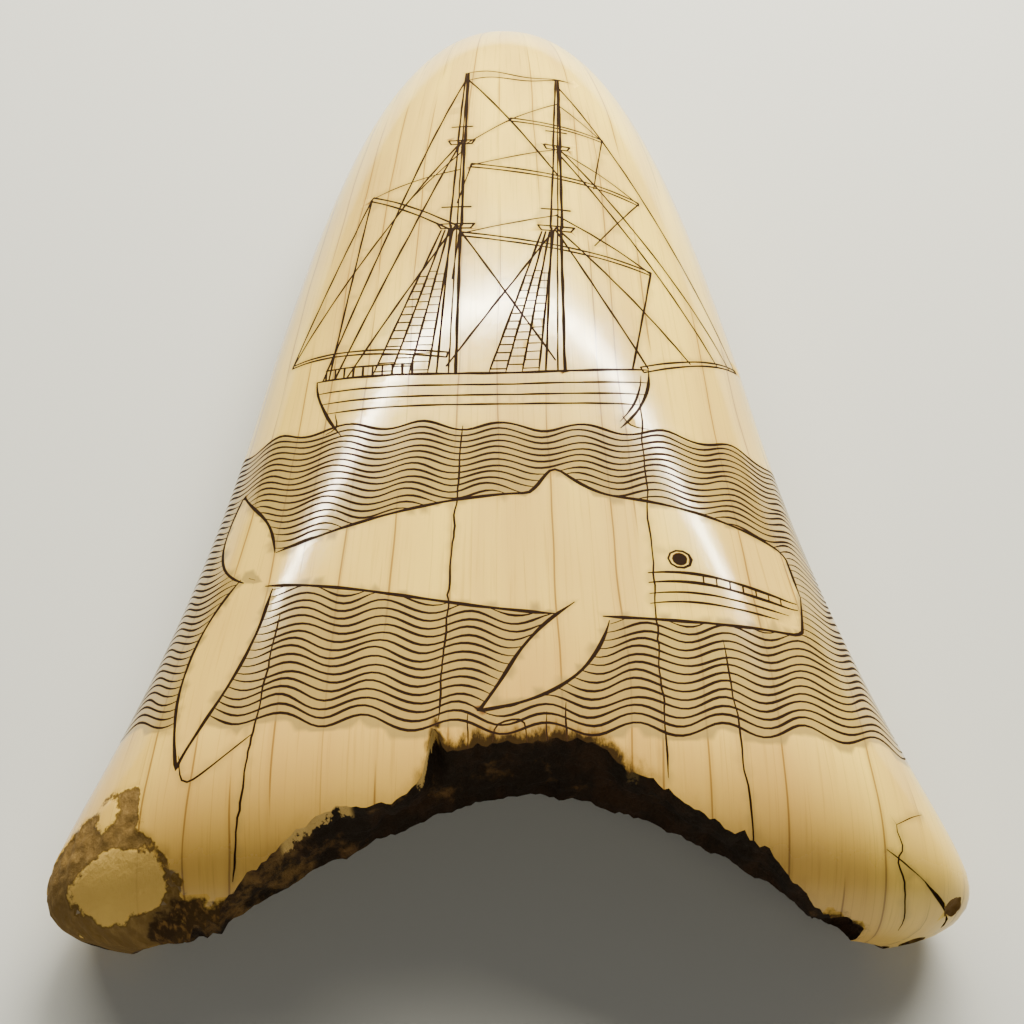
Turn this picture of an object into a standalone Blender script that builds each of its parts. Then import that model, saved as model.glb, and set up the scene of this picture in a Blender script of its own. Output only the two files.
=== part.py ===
"""Scrimshaw whale tooth: one piece of ivory lying on its hollow back.

Frame: +Y runs from the broken root end to the rounded tip and +Z is up. The origin is the centre of the
bounding box's underside. Dimensions are in millimetres and become metres where the vertices are made.
"""

import math

import bmesh
import bpy

MM = 0.001

# Plan of the tooth, seen from above
LENGTH = 150.0              # ends of the root lobes to the tip
LOBE_LOSS = 0.45            # how much of the flanks' own length the broken edge takes off the lobes
TIP_HALF_WIDTH = 28.8       # what the flanks narrow to at the tip, before it is rounded off
ROOT_HALF_WIDTH = 48.6      # what the flanks spread to at the root, before the lobes are rounded off
FLARE_LENGTH = 142.0        # how far from the tip the flanks would reach the root's half width
FLARE_POWER = 2.95          # over 1: the flanks stay slim near the tip and spread late
TIP_ROUNDING = 82.0         # length over which the plan closes at the tip
TIP_ROUNDNESS = 1.9
LOBE_ROUNDING = 14.0        # length over which the plan closes at the root lobes
LOBE_ROUNDNESS = 5.0

# Height of the tooth, seen from the side
CREST_HEIGHT = 27.0         # along the middle of the polished front
BELT_HEIGHT = 8.0           # where each cross-section is widest
DOME_LENGTH = 58.0          # length over which the crest comes down at the tip
HEEL_LENGTH = 17.0          # length over which the crest comes down at the root
PROFILE_ROUNDNESS = 2.2
ROOT_DROP = 1.0             # how much lower the crest runs at the root end
ROOT_DROP_START = 10.0      # where along Y that drop begins
ROOT_DROP_RUN = 80.0
FOOT_ROUNDING = 5.0         # edge between the flanks and the flat underside
TIP_LIFT_LENGTH = 12.0      # length over which the underside rises to the belt at the tip
LOBE_LIFT_LENGTH = 8.0      # the same under the root lobes
LIFT_ROUNDNESS = 2.0

# Cross-section: 2 is an ellipse, more is squarer
ROOT_SQUARENESS = 3.4
TIP_SQUARENESS = 2.1
SQUARENESS_FADE = 0.8
FLANK_ROUNDNESS = 2.2

# Pulp hollow under the root end
HOLLOW_HALF_WIDTH = 34.0
HOLLOW_HEIGHT = 12.5
HOLLOW_INNER_END = 24.0     # where along Y the hollow has tapered out
HOLLOW_TAPER = 96.0
HOLLOW_TAPER_POWER = 1.7
HOLLOW_SQUARENESS = 3.6
MOUTH_FLARE = 8.0           # how far the hollow's mouth spreads on each side by the ends of the lobes
MOUTH_LENGTH = 15.0         # length over which it spreads
HOLLOW_BELOW = 4.0          # how far its cutter reaches below the underside

# Broken root edge, an arch in plan
BREAK_MIDDLE = (2.5, -60.0)
BREAK_SLOPE = 0.64
BREAK_BLUNTNESS = 14.0
BREAK_HALF_SPAN = 44.0
BREAK_STEP = 1.1            # spacing of the points along the edge
EDGE_GAP = 0.2              # run over which the tongue's side steps back to the cleft
TONGUE = (-15.0, -8.0, 2.0)    # left end, right end and reach of the part that broke off later
CLEFT = (-8.0, -6.5, 3.0)      # left end, right end and depth of the cleft beside it
RAGGED_WAVES = ((0.4, 7.3, 0.4), (0.3, 4.1, 2.2), (0.2, 2.6, 5.1))  # height, wavelength, phase

# Scoops that chips have left in the lobes: centre and radius
CHIPS = {
    "right_lobe_chip": ((47.0, -73.5, 12.0), 2.0),
    "right_hem_chip": ((33.5, -75.5, 11.0), 3.0),
    "left_heel_chip": ((-44.5, -75.5, 4.5), 2.5),
}

# Fineness of the facets
STATIONS = 54
CROWN_STEPS = 30
UNDERCUT_STEPS = 4
UNDERSIDE_STEPS = 6
STATION_BUNCHING = 0.86     # 0 spaces the stations evenly, near 1 bunches them at both ends
HOLLOW_STATIONS = 18
HOLLOW_STEPS = 20
SCOOP_SUBDIVISIONS = 2
POLE_HALF_WIDTH = 1e-6      # a narrower cross-section closes to one point
SHARP_ANGLE = 40.0          # degrees between facets above which their shared edge stays sharp

IVORY_COLOUR = (0.80, 0.66, 0.42, 1.0)
IVORY_ROUGHNESS = 0.3


def closure(distance, length, power, root=2.0):
    """How far a rounded end has opened: 0 at the end itself and 1 from `length` inwards."""
    left = min(max(1.0 - distance / length, 0.0), 1.0)
    return (1.0 - left ** power) ** (1.0 / root)


def section(y):
    """Half width, crest height, underside height and squareness of the cross-section at y."""
    from_tip = LENGTH / 2 - y
    from_root = LENGTH / 2 + LOBE_LOSS + y
    spread = max(from_tip, 0.0) / FLARE_LENGTH
    half_width = TIP_HALF_WIDTH + (ROOT_HALF_WIDTH - TIP_HALF_WIDTH) * spread ** FLARE_POWER
    half_width *= closure(from_tip, TIP_ROUNDING, TIP_ROUNDNESS)
    half_width *= closure(from_root, LOBE_ROUNDING, LOBE_ROUNDNESS, LOBE_ROUNDNESS)
    domed = closure(from_tip, DOME_LENGTH, PROFILE_ROUNDNESS)
    domed *= closure(from_root, HEEL_LENGTH, PROFILE_ROUNDNESS)
    drop = ROOT_DROP * max((ROOT_DROP_START - y) / ROOT_DROP_RUN, 0.0) ** 2
    crest = BELT_HEIGHT + (CREST_HEIGHT - BELT_HEIGHT - drop) * domed
    settled = closure(from_tip, TIP_LIFT_LENGTH, LIFT_ROUNDNESS)
    settled *= closure(from_root, LOBE_LIFT_LENGTH, LIFT_ROUNDNESS)
    underside = BELT_HEIGHT * (1.0 - settled)
    towards_tip = (from_root / LENGTH) ** SQUARENESS_FADE
    squareness = ROOT_SQUARENESS + (TIP_SQUARENESS - ROOT_SQUARENESS) * towards_tip
    return half_width, crest, underside, squareness


def body_ring(y):
    """Points around the outside at y: over the crown, under the flank and along the underside."""
    half_width, crest, underside, squareness = section(y)
    if half_width < POLE_HALF_WIDTH:
        return [(0.0, y, BELT_HEIGHT)]
    ring = []
    for i in range(CROWN_STEPS + 1):
        across = math.sin(math.pi * (i / CROWN_STEPS - 0.5))
        rise = (1.0 - abs(across) ** squareness) ** (1.0 / FLANK_ROUNDNESS)
        ring.append((half_width * across, y, BELT_HEIGHT + (crest - BELT_HEIGHT) * rise))
    rounding = min(FOOT_ROUNDING, half_width)
    flat = half_width - rounding
    undercut = []
    for i in range(1, UNDERCUT_STEPS + 1):
        turn = math.pi / 2 * i / UNDERCUT_STEPS
        z = BELT_HEIGHT - (BELT_HEIGHT - underside) * math.sin(turn)
        undercut.append((flat + rounding * math.cos(turn), z))
    ring += [(x, y, z) for x, z in undercut]
    ring += [(flat * (1.0 - 2.0 * i / UNDERSIDE_STEPS), y, underside) for i in range(1, UNDERSIDE_STEPS)]
    ring += [(-x, y, z) for x, z in reversed(undercut)]
    return ring


def body_rings():
    """Rings of the whole tooth from the root end to the tip, before anything is cut out of it."""
    rings = []
    for i in range(STATIONS + 1):
        along = i / STATIONS
        along -= STATION_BUNCHING * math.sin(2.0 * math.pi * along) / (2.0 * math.pi)
        rings.append(body_ring((LENGTH + LOBE_LOSS) * along - LENGTH / 2 - LOBE_LOSS))
    return rings


def hollow_rings():
    """Rings of the pulp hollow, from outside the root end to the point where it tapers out."""
    rings = []
    start = -LENGTH / 2 - FOOT_ROUNDING
    run = HOLLOW_INNER_END - start
    for i in range(HOLLOW_STATIONS + 1):
        y = start + run * math.sin(math.pi / 2 * i / HOLLOW_STATIONS)
        opened = closure(HOLLOW_INNER_END - y, HOLLOW_TAPER, HOLLOW_TAPER_POWER)
        if i == HOLLOW_STATIONS:
            rings.append([(0.0, y, -HOLLOW_BELOW)])
            continue
        into_mouth = max((MOUTH_LENGTH - LENGTH / 2 - y) / MOUTH_LENGTH, 0.0)
        half_width = HOLLOW_HALF_WIDTH * opened + MOUTH_FLARE * into_mouth ** 2
        ring = []
        for step in range(HOLLOW_STEPS + 1):
            across = math.sin(math.pi * (step / HOLLOW_STEPS - 0.5))
            rise = (1.0 - abs(across) ** HOLLOW_SQUARENESS) ** (1.0 / HOLLOW_SQUARENESS)
            height = (HOLLOW_HEIGHT + HOLLOW_BELOW) * opened * rise
            ring.append((half_width * across, y, height - HOLLOW_BELOW))
        rings.append(ring)
    return rings


def broken_edge(x):
    """Where the broken root edge runs at x."""
    middle_x, middle_y = BREAK_MIDDLE
    y = middle_y - BREAK_SLOPE * (math.hypot(x - middle_x, BREAK_BLUNTNESS) - BREAK_BLUNTNESS)
    left, right, reach = TONGUE
    if left < x < right:
        y -= reach * math.sin(math.pi / 2 * (x - left) / (right - left))
    left, right, depth = CLEFT
    if left <= x < right:
        y += depth * (right - x) / (right - left)
    for height, wavelength, phase in RAGGED_WAVES:
        y += height * math.sin(2.0 * math.pi * x / wavelength + phase)
    return y


def break_rings():
    """Two rings, below and above the tooth, of the prism that leaves the broken edge."""
    steps = round(2.0 * BREAK_HALF_SPAN / BREAK_STEP)
    even = [-BREAK_HALF_SPAN + 2.0 * BREAK_HALF_SPAN * i / steps for i in range(steps + 1)]
    corners = [TONGUE[0], TONGUE[1] - EDGE_GAP, CLEFT[0], CLEFT[1]]
    even = [x for x in even if all(abs(x - corner) > BREAK_STEP / 2 for corner in corners)]
    edge = [(x, broken_edge(x)) for x in sorted(even + corners)]
    outside = -LENGTH
    outline = [(-BREAK_HALF_SPAN, outside)] + edge + [(BREAK_HALF_SPAN, outside)]
    return [[(x, y, z) for x, y in outline] for z in (-CREST_HEIGHT, 2.0 * CREST_HEIGHT)]


def loft(name, rings, collection):
    """A closed object through rings of points; a ring of one point is a pole, and any other end is capped."""
    mesh = bpy.data.meshes.new(name)
    bm = bmesh.new()
    rows = [[bm.verts.new([c * MM for c in point]) for point in ring] for ring in rings]
    for row, following in zip(rows, rows[1:]):
        count = max(len(row), len(following))
        for i in range(count):
            corners = [row[i % len(row)], row[(i + 1) % len(row)]]
            corners += [following[(i + 1) % len(following)], following[i % len(following)]]
            bm.faces.new(list(dict.fromkeys(corners)))
    for row in (rows[0], rows[-1]):
        if len(row) > 1:
            bm.faces.new(row)
    bmesh.ops.recalc_face_normals(bm, faces=bm.faces)
    bm.to_mesh(mesh)
    bm.free()
    obj = bpy.data.objects.new(name, mesh)
    collection.objects.link(obj)
    return obj


def scoop(name, centre, radius, collection):
    """A ball that takes a shell-shaped chip out of an edge."""
    mesh = bpy.data.meshes.new(name)
    bm = bmesh.new()
    bmesh.ops.create_icosphere(bm, subdivisions=SCOOP_SUBDIVISIONS, radius=radius * MM)
    bm.to_mesh(mesh)
    bm.free()
    obj = bpy.data.objects.new(name, mesh)
    obj.location = [c * MM for c in centre]
    collection.objects.link(obj)
    return obj


def cut(target, cutter):
    """Take the cutter out of the target with an exact Boolean."""
    cutter.hide_render = True
    cutter.display_type = 'WIRE'
    modifier = target.modifiers.new(cutter.name, 'BOOLEAN')
    modifier.operation = 'DIFFERENCE'
    modifier.solver = 'EXACT'
    modifier.object = cutter


def ivory():
    """Plain ivory for the whole piece."""
    material = bpy.data.materials.new("ivory")
    material.use_nodes = True
    shader = material.node_tree.nodes["Principled BSDF"]
    shader.inputs["Base Color"].default_value = IVORY_COLOUR
    shader.inputs["Roughness"].default_value = IVORY_ROUGHNESS
    shader.inputs["Metallic"].default_value = 0.0
    return material


def new_collection(name):
    """A new collection in the scene."""
    collection = bpy.data.collections.new(name)
    bpy.context.scene.collection.children.link(collection)
    return collection


def main():
    for obj in list(bpy.data.objects):
        bpy.data.objects.remove(obj, do_unlink=True)
    parts = new_collection("scrimshaw_whale_tooth")
    cutters = new_collection("cutters")
    tooth = loft("tooth", body_rings(), parts)
    tooth.data.materials.append(ivory())
    cut(tooth, loft("pulp_hollow", hollow_rings(), cutters))
    cut(tooth, loft("broken_root_edge", break_rings(), cutters))
    for name, (centre, radius) in CHIPS.items():
        cut(tooth, scoop(name, centre, radius, cutters))
    tooth.data.shade_smooth()
    tooth.data.set_sharp_from_angle(angle=math.radians(SHARP_ANGLE))


main()
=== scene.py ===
"""Scrimshaw whale tooth, dressed: engraved polished crown, broken root edge, pulp hollow and studio.

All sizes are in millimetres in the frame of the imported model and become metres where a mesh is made.
The crown is unrolled into a flat sheet, where s runs across from the crest and t along it from y = 0, both
measured on the surface. The picture is laid out on that sheet and cut into the crown as real grooves.
"""

import logging
import math
from dataclasses import dataclass, field, fields
from enum import Enum
from functools import partial

import bmesh
import bpy
import numpy as np
from bpy.types import ID, Material, Mesh, Node, NodeSocket, NodeTree, Object
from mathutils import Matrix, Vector, noise
from mathutils.geometry import delaunay_2d_cdt
from mathutils.kdtree import KDTree


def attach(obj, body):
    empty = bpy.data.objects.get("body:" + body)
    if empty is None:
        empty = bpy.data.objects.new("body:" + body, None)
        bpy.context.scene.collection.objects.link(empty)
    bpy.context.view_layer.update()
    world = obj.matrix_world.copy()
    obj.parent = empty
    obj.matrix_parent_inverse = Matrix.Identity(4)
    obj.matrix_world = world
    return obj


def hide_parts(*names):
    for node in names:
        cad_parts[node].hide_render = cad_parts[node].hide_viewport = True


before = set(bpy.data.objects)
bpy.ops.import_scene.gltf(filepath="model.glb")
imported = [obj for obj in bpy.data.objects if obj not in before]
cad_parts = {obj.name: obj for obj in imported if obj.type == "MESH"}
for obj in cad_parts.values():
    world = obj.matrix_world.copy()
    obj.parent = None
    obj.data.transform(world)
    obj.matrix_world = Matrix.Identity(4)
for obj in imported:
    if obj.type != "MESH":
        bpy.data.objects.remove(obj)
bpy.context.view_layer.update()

MM = 0.001
LATTICE_ROW = 0.866
FAR_OUTSIDE = -9.0
LOG = logging.getLogger("scrimshaw")

Pair = tuple[float, float]
Point = tuple[float, float, float]
Ring = list[Point]
Array = np.ndarray


# ---- Nodes, objects and what meshes store


def connect(tree: NodeTree, node: Node, inputs: dict) -> None:
    """Sets or links the inputs of a node.

    Args:
        tree: the tree it stands in.
        node: the node.
        inputs: values or sockets, by the input's name or number.
    """
    for name, value in inputs.items():
        if isinstance(value, NodeSocket):
            tree.links.new(value, node.inputs[name])
        else:
            node.inputs[name].default_value = value


def add_node(tree: NodeTree, kind: str, inputs: dict | None = None, out: int | str = 0,
             **settings) -> NodeSocket | None:
    """Adds a node with its settings and links.

    Args:
        tree: the tree it goes in.
        kind: the node's type, for a shader node without its "ShaderNode".
        inputs: values or sockets for its inputs, by name or number.
        out: the output wanted, by name or number.
        settings: the node's own properties.

    Returns:
        The output, or None for a node that has none.
    """
    node = tree.nodes.new(kind if "Node" in kind else "ShaderNode" + kind)
    for name, value in settings.items():
        setattr(node, name, value)
    connect(tree, node, inputs or {})
    return node.outputs[out] if len(node.outputs) else None


def new_object(name: str, data: ID) -> Object:
    """Makes an object and puts it in the scene.

    Args:
        name: its name.
        data: its mesh, light or camera.

    Returns:
        The object.
    """
    obj = bpy.data.objects.new(name, data)
    bpy.context.scene.collection.objects.link(obj)
    return obj


def new_cutter(name: str, bm: bmesh.types.BMesh, skin: Material) -> Object:
    """Turns a shape into an object of one material and frees the shape.

    Args:
        name: the object's name.
        bm: the shape.
        skin: its material.

    Returns:
        The object.
    """
    mesh = bpy.data.meshes.new(name)
    bm.to_mesh(mesh)
    bm.free()
    mesh.materials.append(skin)
    return new_object(name, mesh)


def store(mesh: Mesh, name: str, kind: str, values: Array | list) -> None:
    """Keeps values on the points of a mesh, in place of any that it had under that name.

    Args:
        mesh: the mesh.
        name: the attribute's name.
        kind: its type, a number or a vector.
        values: one value or one row a point.
    """
    if name in mesh.attributes:
        mesh.attributes.remove(mesh.attributes[name])
    data = mesh.attributes.new(name, kind, "POINT").data
    data.foreach_set("value" if kind == "FLOAT" else "vector", np.array(values, np.float32).reshape(-1))


def stored(mesh: Mesh, name: str, width: int = 1) -> Array:
    """Reads what the points of a mesh keep under a name.

    Args:
        mesh: the mesh.
        name: the attribute's name.
        width: how many numbers a point has.

    Returns:
        One value or one row a point.
    """
    values = np.empty(len(mesh.vertices) * width)
    mesh.attributes[name].data.foreach_get("value" if width == 1 else "vector", values)
    return values if width == 1 else values.reshape(-1, width)


# ---- Form of the tooth


def closure(distance: Array, length: float, power: float, root: float = 2.0) -> Array:
    """How far a rounded end has opened at a distance inwards: 0 at the end itself and 1 from `length` on."""
    left = np.clip(1.0 - np.asarray(distance, float) / length, 0.0, 1.0)
    return (1.0 - left ** power) ** (1.0 / root)


@dataclass(frozen=True)
class Section:
    """Cross-sections at one or many places along Y: half width, crest height, underside and squareness."""

    half_width: Array
    crest: Array
    underside: Array
    squareness: Array


@dataclass(frozen=True)
class ToothForm:
    """The outer form of the tooth before its root was hollowed and broken, a loft of sections along Y."""

    length: float = 150.0
    lobe_loss: float = 0.45
    tip_half_width: float = 28.8
    root_half_width: float = 48.6
    flare_length: float = 142.0
    flare_power: float = 2.95
    tip_rounding: float = 82.0
    tip_roundness: float = 1.9
    lobe_rounding: float = 14.0
    lobe_roundness: float = 5.0
    crest_height: float = 27.0
    belt_height: float = 8.0
    dome_length: float = 58.0
    heel_length: float = 17.0
    profile_roundness: float = 2.2
    root_drop: float = 1.0
    root_drop_start: float = 10.0
    root_drop_run: float = 80.0
    foot_rounding: float = 5.0
    tip_lift_length: float = 12.0
    lobe_lift_length: float = 8.0
    root_squareness: float = 3.4
    tip_squareness: float = 2.1
    squareness_fade: float = 0.8
    flank_roundness: float = 2.2
    normal_step: float = 0.002

    @property
    def tip_y(self) -> float:
        """Where along Y the tip ends."""
        return self.length / 2

    @property
    def root_y(self) -> float:
        """Where along Y the unbroken root would end."""
        return -self.length / 2 - self.lobe_loss

    def section(self, y: Array) -> Section:
        """Sections at y.

        Args:
            y: places along Y.

        Returns:
            The sections there.
        """
        y = np.asarray(y, float)
        from_tip = np.clip(self.tip_y - y, 0.0, None)
        from_root = np.clip(y - self.root_y, 0.0, None)
        spread = (from_tip / self.flare_length) ** self.flare_power
        half_width = self.tip_half_width + (self.root_half_width - self.tip_half_width) * spread
        half_width = half_width * closure(from_tip, self.tip_rounding, self.tip_roundness)
        lobe = self.lobe_roundness
        half_width = half_width * closure(from_root, self.lobe_rounding, lobe, lobe)
        domed = closure(from_tip, self.dome_length, self.profile_roundness)
        domed = domed * closure(from_root, self.heel_length, self.profile_roundness)
        drop = self.root_drop * np.clip((self.root_drop_start - y) / self.root_drop_run, 0.0, None) ** 2
        crest = self.belt_height + (self.crest_height - self.belt_height - drop) * domed
        settled = closure(from_tip, self.tip_lift_length, 2.0)
        settled = settled * closure(from_root, self.lobe_lift_length, 2.0)
        fade = (from_root / self.length) ** self.squareness_fade
        squareness = self.root_squareness + (self.tip_squareness - self.root_squareness) * fade
        return Section(half_width, crest, self.belt_height * (1.0 - settled), squareness)

    def crown_height(self, x: Array, y: Array) -> Array:
        """Height of the crown over the plan point x, y.

        Args:
            x: places across.
            y: places along Y.

        Returns:
            The height at each.
        """
        here = self.section(y)
        across = np.clip(np.abs(x) / np.maximum(here.half_width, 1e-9), 0.0, 1.0)
        rise = (1.0 - across ** here.squareness) ** (1.0 / self.flank_roundness)
        return self.belt_height + (here.crest - self.belt_height) * rise

    def level(self, points: Array) -> Array:
        """A value that grows outwards through the surface, whose gradient is the surface's normal.

        Args:
            points: places on or near the outer surface, one row each.

        Returns:
            One value a point, 0 on the surface.
        """
        x, y, z = points.T
        here = self.section(y)
        width = np.maximum(here.half_width, 1e-3)
        up = np.clip((z - self.belt_height) / np.maximum(here.crest - self.belt_height, 1e-3), 0.0, None)
        above = up ** self.flank_roundness + (np.abs(x) / width) ** here.squareness - 1.0
        rounding = np.minimum(self.foot_rounding, width)
        out = np.clip((np.abs(x) - (width - rounding)) / rounding, 0.0, None)
        down = (self.belt_height - z) / np.maximum(self.belt_height - here.underside, 1e-3)
        return np.where(z >= self.belt_height, above, np.clip(down, 0.0, None) ** 2 + out ** 2 - 1.0)

    def normals(self, points: Array) -> Array:
        """Outward unit normals of the outer surface.

        Args:
            points: places on the surface, one row each.

        Returns:
            One unit vector a point.
        """
        gradient = np.empty_like(points)
        for axis in range(3):
            offset = np.zeros(3)
            offset[axis] = self.normal_step
            gradient[:, axis] = self.level(points + offset) - self.level(points - offset)
        return gradient / np.maximum(np.linalg.norm(gradient, axis=1, keepdims=True), 1e-12)


class CrownMap:
    """The crown unrolled: s is the distance across from the crest and t the distance along it from y = 0."""

    flank_ends: float = 0.6

    def __init__(self, form: ToothForm, rows: int = 900, columns: int = 240) -> None:
        """Measures the surface once on a fine lattice.

        Args:
            form: the tooth's outer form.
            rows: lattice lines along Y.
            columns: lattice lines from the crest to the belt.
        """
        self.form = form
        ease = (1.0 - np.cos(np.linspace(0.0, math.pi, rows))) / 2.0
        self.y = form.root_y + (form.tip_y - form.root_y) * ease
        here = form.section(self.y)
        self.width = here.half_width
        run = np.concatenate([[0.0], np.cumsum(np.hypot(np.diff(self.y), np.diff(here.crest)))])
        self.t = run - np.interp(0.0, self.y, run)
        self.turn = np.linspace(0.0, math.pi / 2, columns)
        across = np.sin(self.turn)
        x = self.width[:, None] * across
        z = form.crown_height(x, np.repeat(self.y[:, None], columns, axis=1))
        arc = np.cumsum(np.hypot(np.diff(x, axis=1), np.diff(z, axis=1)), axis=1)
        self.arc = np.concatenate([np.zeros((rows, 1)), arc], axis=1)
        self.span = self.arc[:, -1]
        share = np.linspace(0.0, 1.0, columns)
        self.across = np.empty((rows, columns))
        for row in range(rows):
            self.across[row] = np.interp(share * self.span[row], self.arc[row], across)
        outline = np.hypot(np.diff(self.y), np.diff(self.width))
        self.outline = np.concatenate([[0.0], np.cumsum(outline)])

    def half_span(self, t: Array) -> Array:
        """Distance on the surface from the crest to the belt at t."""
        return np.interp(t, self.t, self.span)

    @staticmethod
    def _sample(table: Array, row: Array, column: Array) -> Array:
        """Bilinear reading of a lattice table at fractional rows and columns.

        Args:
            table: the table.
            row: rows.
            column: columns.

        Returns:
            The values there.
        """
        rows, columns = table.shape
        i = np.clip(row.astype(int), 0, rows - 2)
        j = np.clip(column.astype(int), 0, columns - 2)
        a, b = row - i, column - j
        top = table[i, j] * (1 - b) + table[i, j + 1] * b
        bottom = table[i + 1, j] * (1 - b) + table[i + 1, j + 1] * b
        return top * (1 - a) + bottom * a

    def place(self, flat: Array) -> Array:
        """Points of the flat sheet laid back on the crown.

        Args:
            flat: rows of s, t.

        Returns:
            Rows of x, y, z.
        """
        s, t = flat.T
        index = np.interp(t, self.t, np.arange(len(self.t)))
        y = np.interp(t, self.t, self.y)
        share = np.clip(np.abs(s) / np.maximum(self.half_span(t), 1e-9), 0.0, 1.0)
        across = self._sample(self.across, index, share * (len(self.turn) - 1))
        x = np.sign(s) * across * self.form.section(y).half_width
        return np.stack([x, y, self.form.crown_height(x, y)], axis=1)

    def flatten(self, places: Array) -> Array:
        """Points of the crown unrolled, by their width on top and by their height on the flanks.

        Args:
            places: rows of x, y, z on or near the crown.

        Returns:
            Rows of s, t.
        """
        x, y, z = places.T
        index = np.interp(y, self.y, np.arange(len(self.y)))
        here = self.form.section(y)
        rise = (z - self.form.belt_height) / np.maximum(here.crest - self.form.belt_height, 1e-3)
        rise = np.clip(rise, 0.0, 1.0)
        by_height = (1.0 - rise ** self.form.flank_roundness) ** (1.0 / here.squareness)
        by_width = np.clip(np.abs(x) / np.maximum(here.half_width, 1e-9), 0.0, 1.0)
        turn = np.arcsin(np.where(rise < self.flank_ends, by_height, by_width))
        s = np.sign(x) * self._sample(self.arc, index, turn / (math.pi / 2) * (len(self.turn) - 1))
        return np.stack([s, np.interp(y, self.y, self.t)], axis=1)

    def belt(self, spacing: float) -> Array:
        """Places along Y that divide the tooth's outline evenly, both ends included."""
        count = int(self.outline[-1] / spacing)
        return np.interp(np.linspace(0.0, self.outline[-1], count + 1), self.outline, self.y)


@dataclass(frozen=True)
class Ledge:
    """A place where the break jumped from one layer to another: its middle, half length and step along Y."""

    middle: float
    half_length: float
    step: float

    def at(self, x: Array) -> Array:
        """How far the ledge moves the edge at each place across."""
        return self.step / (1.0 + (np.abs(x - self.middle) / self.half_length) ** 12)


@dataclass(frozen=True)
class BrokenEdge:
    """The broken root edge: a plain arch at its foot, and a ragged rim with ledges at its top."""

    middle: Pair = (2.5, -60.0)
    slope: float = 0.64
    bluntness: float = 14.0
    half_span: float = 44.0
    tongue: Ledge = Ledge(-12.0, 4.0, -2.0)
    cleft: Ledge = Ledge(-7.5, 0.5, 3.0)
    right_arm: Ledge = Ledge(27.0, 15.0, -2.0)
    splinter: float = 0.9
    chatter: float = 0.45
    fresh_spots: tuple[Ledge, ...] = (Ledge(-19.0, 3.5, 0.9), Ledge(-8.0, 1.0, 1.0), Ledge(12.5, 1.0, 0.35))
    stained_spot: Ledge = Ledge(2.5, 10.5, 1.0)
    crumbly_spots: tuple[Ledge, ...] = (Ledge(-27.0, 8.0, 1.0), Ledge(47.0, 4.0, 1.5))

    def foot(self, x: Array) -> Array:
        """The edge's place along Y at its foot."""
        reach = np.hypot(np.asarray(x, float) - self.middle[0], self.bluntness)
        return self.middle[1] - self.slope * (reach - self.bluntness)

    def at(self, x: Array) -> Array:
        """The edge's place along Y at its rim, ledges and splinters included.

        Args:
            x: places across.

        Returns:
            The rim's y at each.
        """
        x = np.asarray(x, float)
        rim = self.foot(x)
        for ledge in (self.tongue, self.cleft, self.right_arm):
            rim = rim + ledge.at(x)
        for size, per_mm in ((self.splinter, 0.22), (self.chatter, 1.1)):
            places = [Vector((float(place) * per_mm, 3.0, 8.0)) for place in x.ravel()]
            torn = [noise.fractal(place, 0.6, 2.1, 3) for place in places]
            rim = rim + size * np.array(torn).reshape(x.shape)
        return rim

    def fresh(self, x: Array) -> Array:
        """How freshly the edge broke at each place across, from 0, old and stained, to 1, pale."""
        return np.clip(sum(spot.at(x) for spot in self.fresh_spots), 0.0, 1.0)


# ---- Pen work


class Taper(Enum):
    """Which ends of a stroke run out to a point."""

    NONE = "none"
    START = "start"
    END = "end"
    BOTH = "both"


@dataclass(frozen=True)
class Nib:
    """How a line is cut: its width and depth, how dark its ink is and how grey the ivory round it is."""

    width: float
    depth: float
    ink: float = 1.0
    haze: float = 0.3


HAIR = Nib(0.24, 0.04, 0.7)
RIGGING = Nib(0.33, 0.05, 0.85)
WAVE = Nib(0.34, 0.06, 0.88, haze=1.0)
WATERLINE = Nib(0.42, 0.07, 1.0)
OUTLINE = Nib(0.45, 0.08, 1.0)
PUPIL = Nib(1.0, 0.10, 1.0)
HAIR_CRACK = Nib(0.26, 0.08, 0.8)
FAINT = Nib(0.20, 0.03, 0.45)
OPEN_CRACK = Nib(0.60, 0.15, 0.95)


@dataclass
class Stroke:
    """One cut line on the flat sheet: its middle line, half width at each point, and the nib that cut it."""

    points: Array
    half: Array
    nib: Nib


def resample(points: Array, step: float) -> Array:
    """Points spaced evenly along a path, with both ends kept.

    Args:
        points: the path's points, one row each.
        step: spacing wanted.

    Returns:
        The new points.
    """
    lengths = np.linalg.norm(np.diff(points, axis=0), axis=1)
    along = np.concatenate([[0.0], np.cumsum(lengths)])
    count = max(int(round(along[-1] / step)), 1)
    targets = np.linspace(0.0, along[-1], count + 1)
    return np.stack([np.interp(targets, along, points[:, axis]) for axis in range(points.shape[1])], axis=1)


def spline(points: Array, per_span: int = 10) -> Array:
    """A smooth path through points, by the Catmull-Rom rule.

    Args:
        points: the points it passes through.
        per_span: how many points to give each span.

    Returns:
        The path's points.
    """
    points = np.asarray(points, float)
    if len(points) < 3:
        return points
    ends = np.vstack([2 * points[0] - points[1], points, 2 * points[-1] - points[-2]])
    u = np.linspace(0.0, 1.0, per_span, endpoint=False)[:, None]
    path = []
    for a, b, c, d in zip(ends, ends[1:], ends[2:], ends[3:]):
        square, cube = 2 * a - 5 * b + 4 * c - d, 3 * b - a - 3 * c + d
        path.append(0.5 * (2 * b + (c - a) * u + square * u**2 + cube * u**3))
    return np.vstack(path + [points[-1:]])


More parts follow.
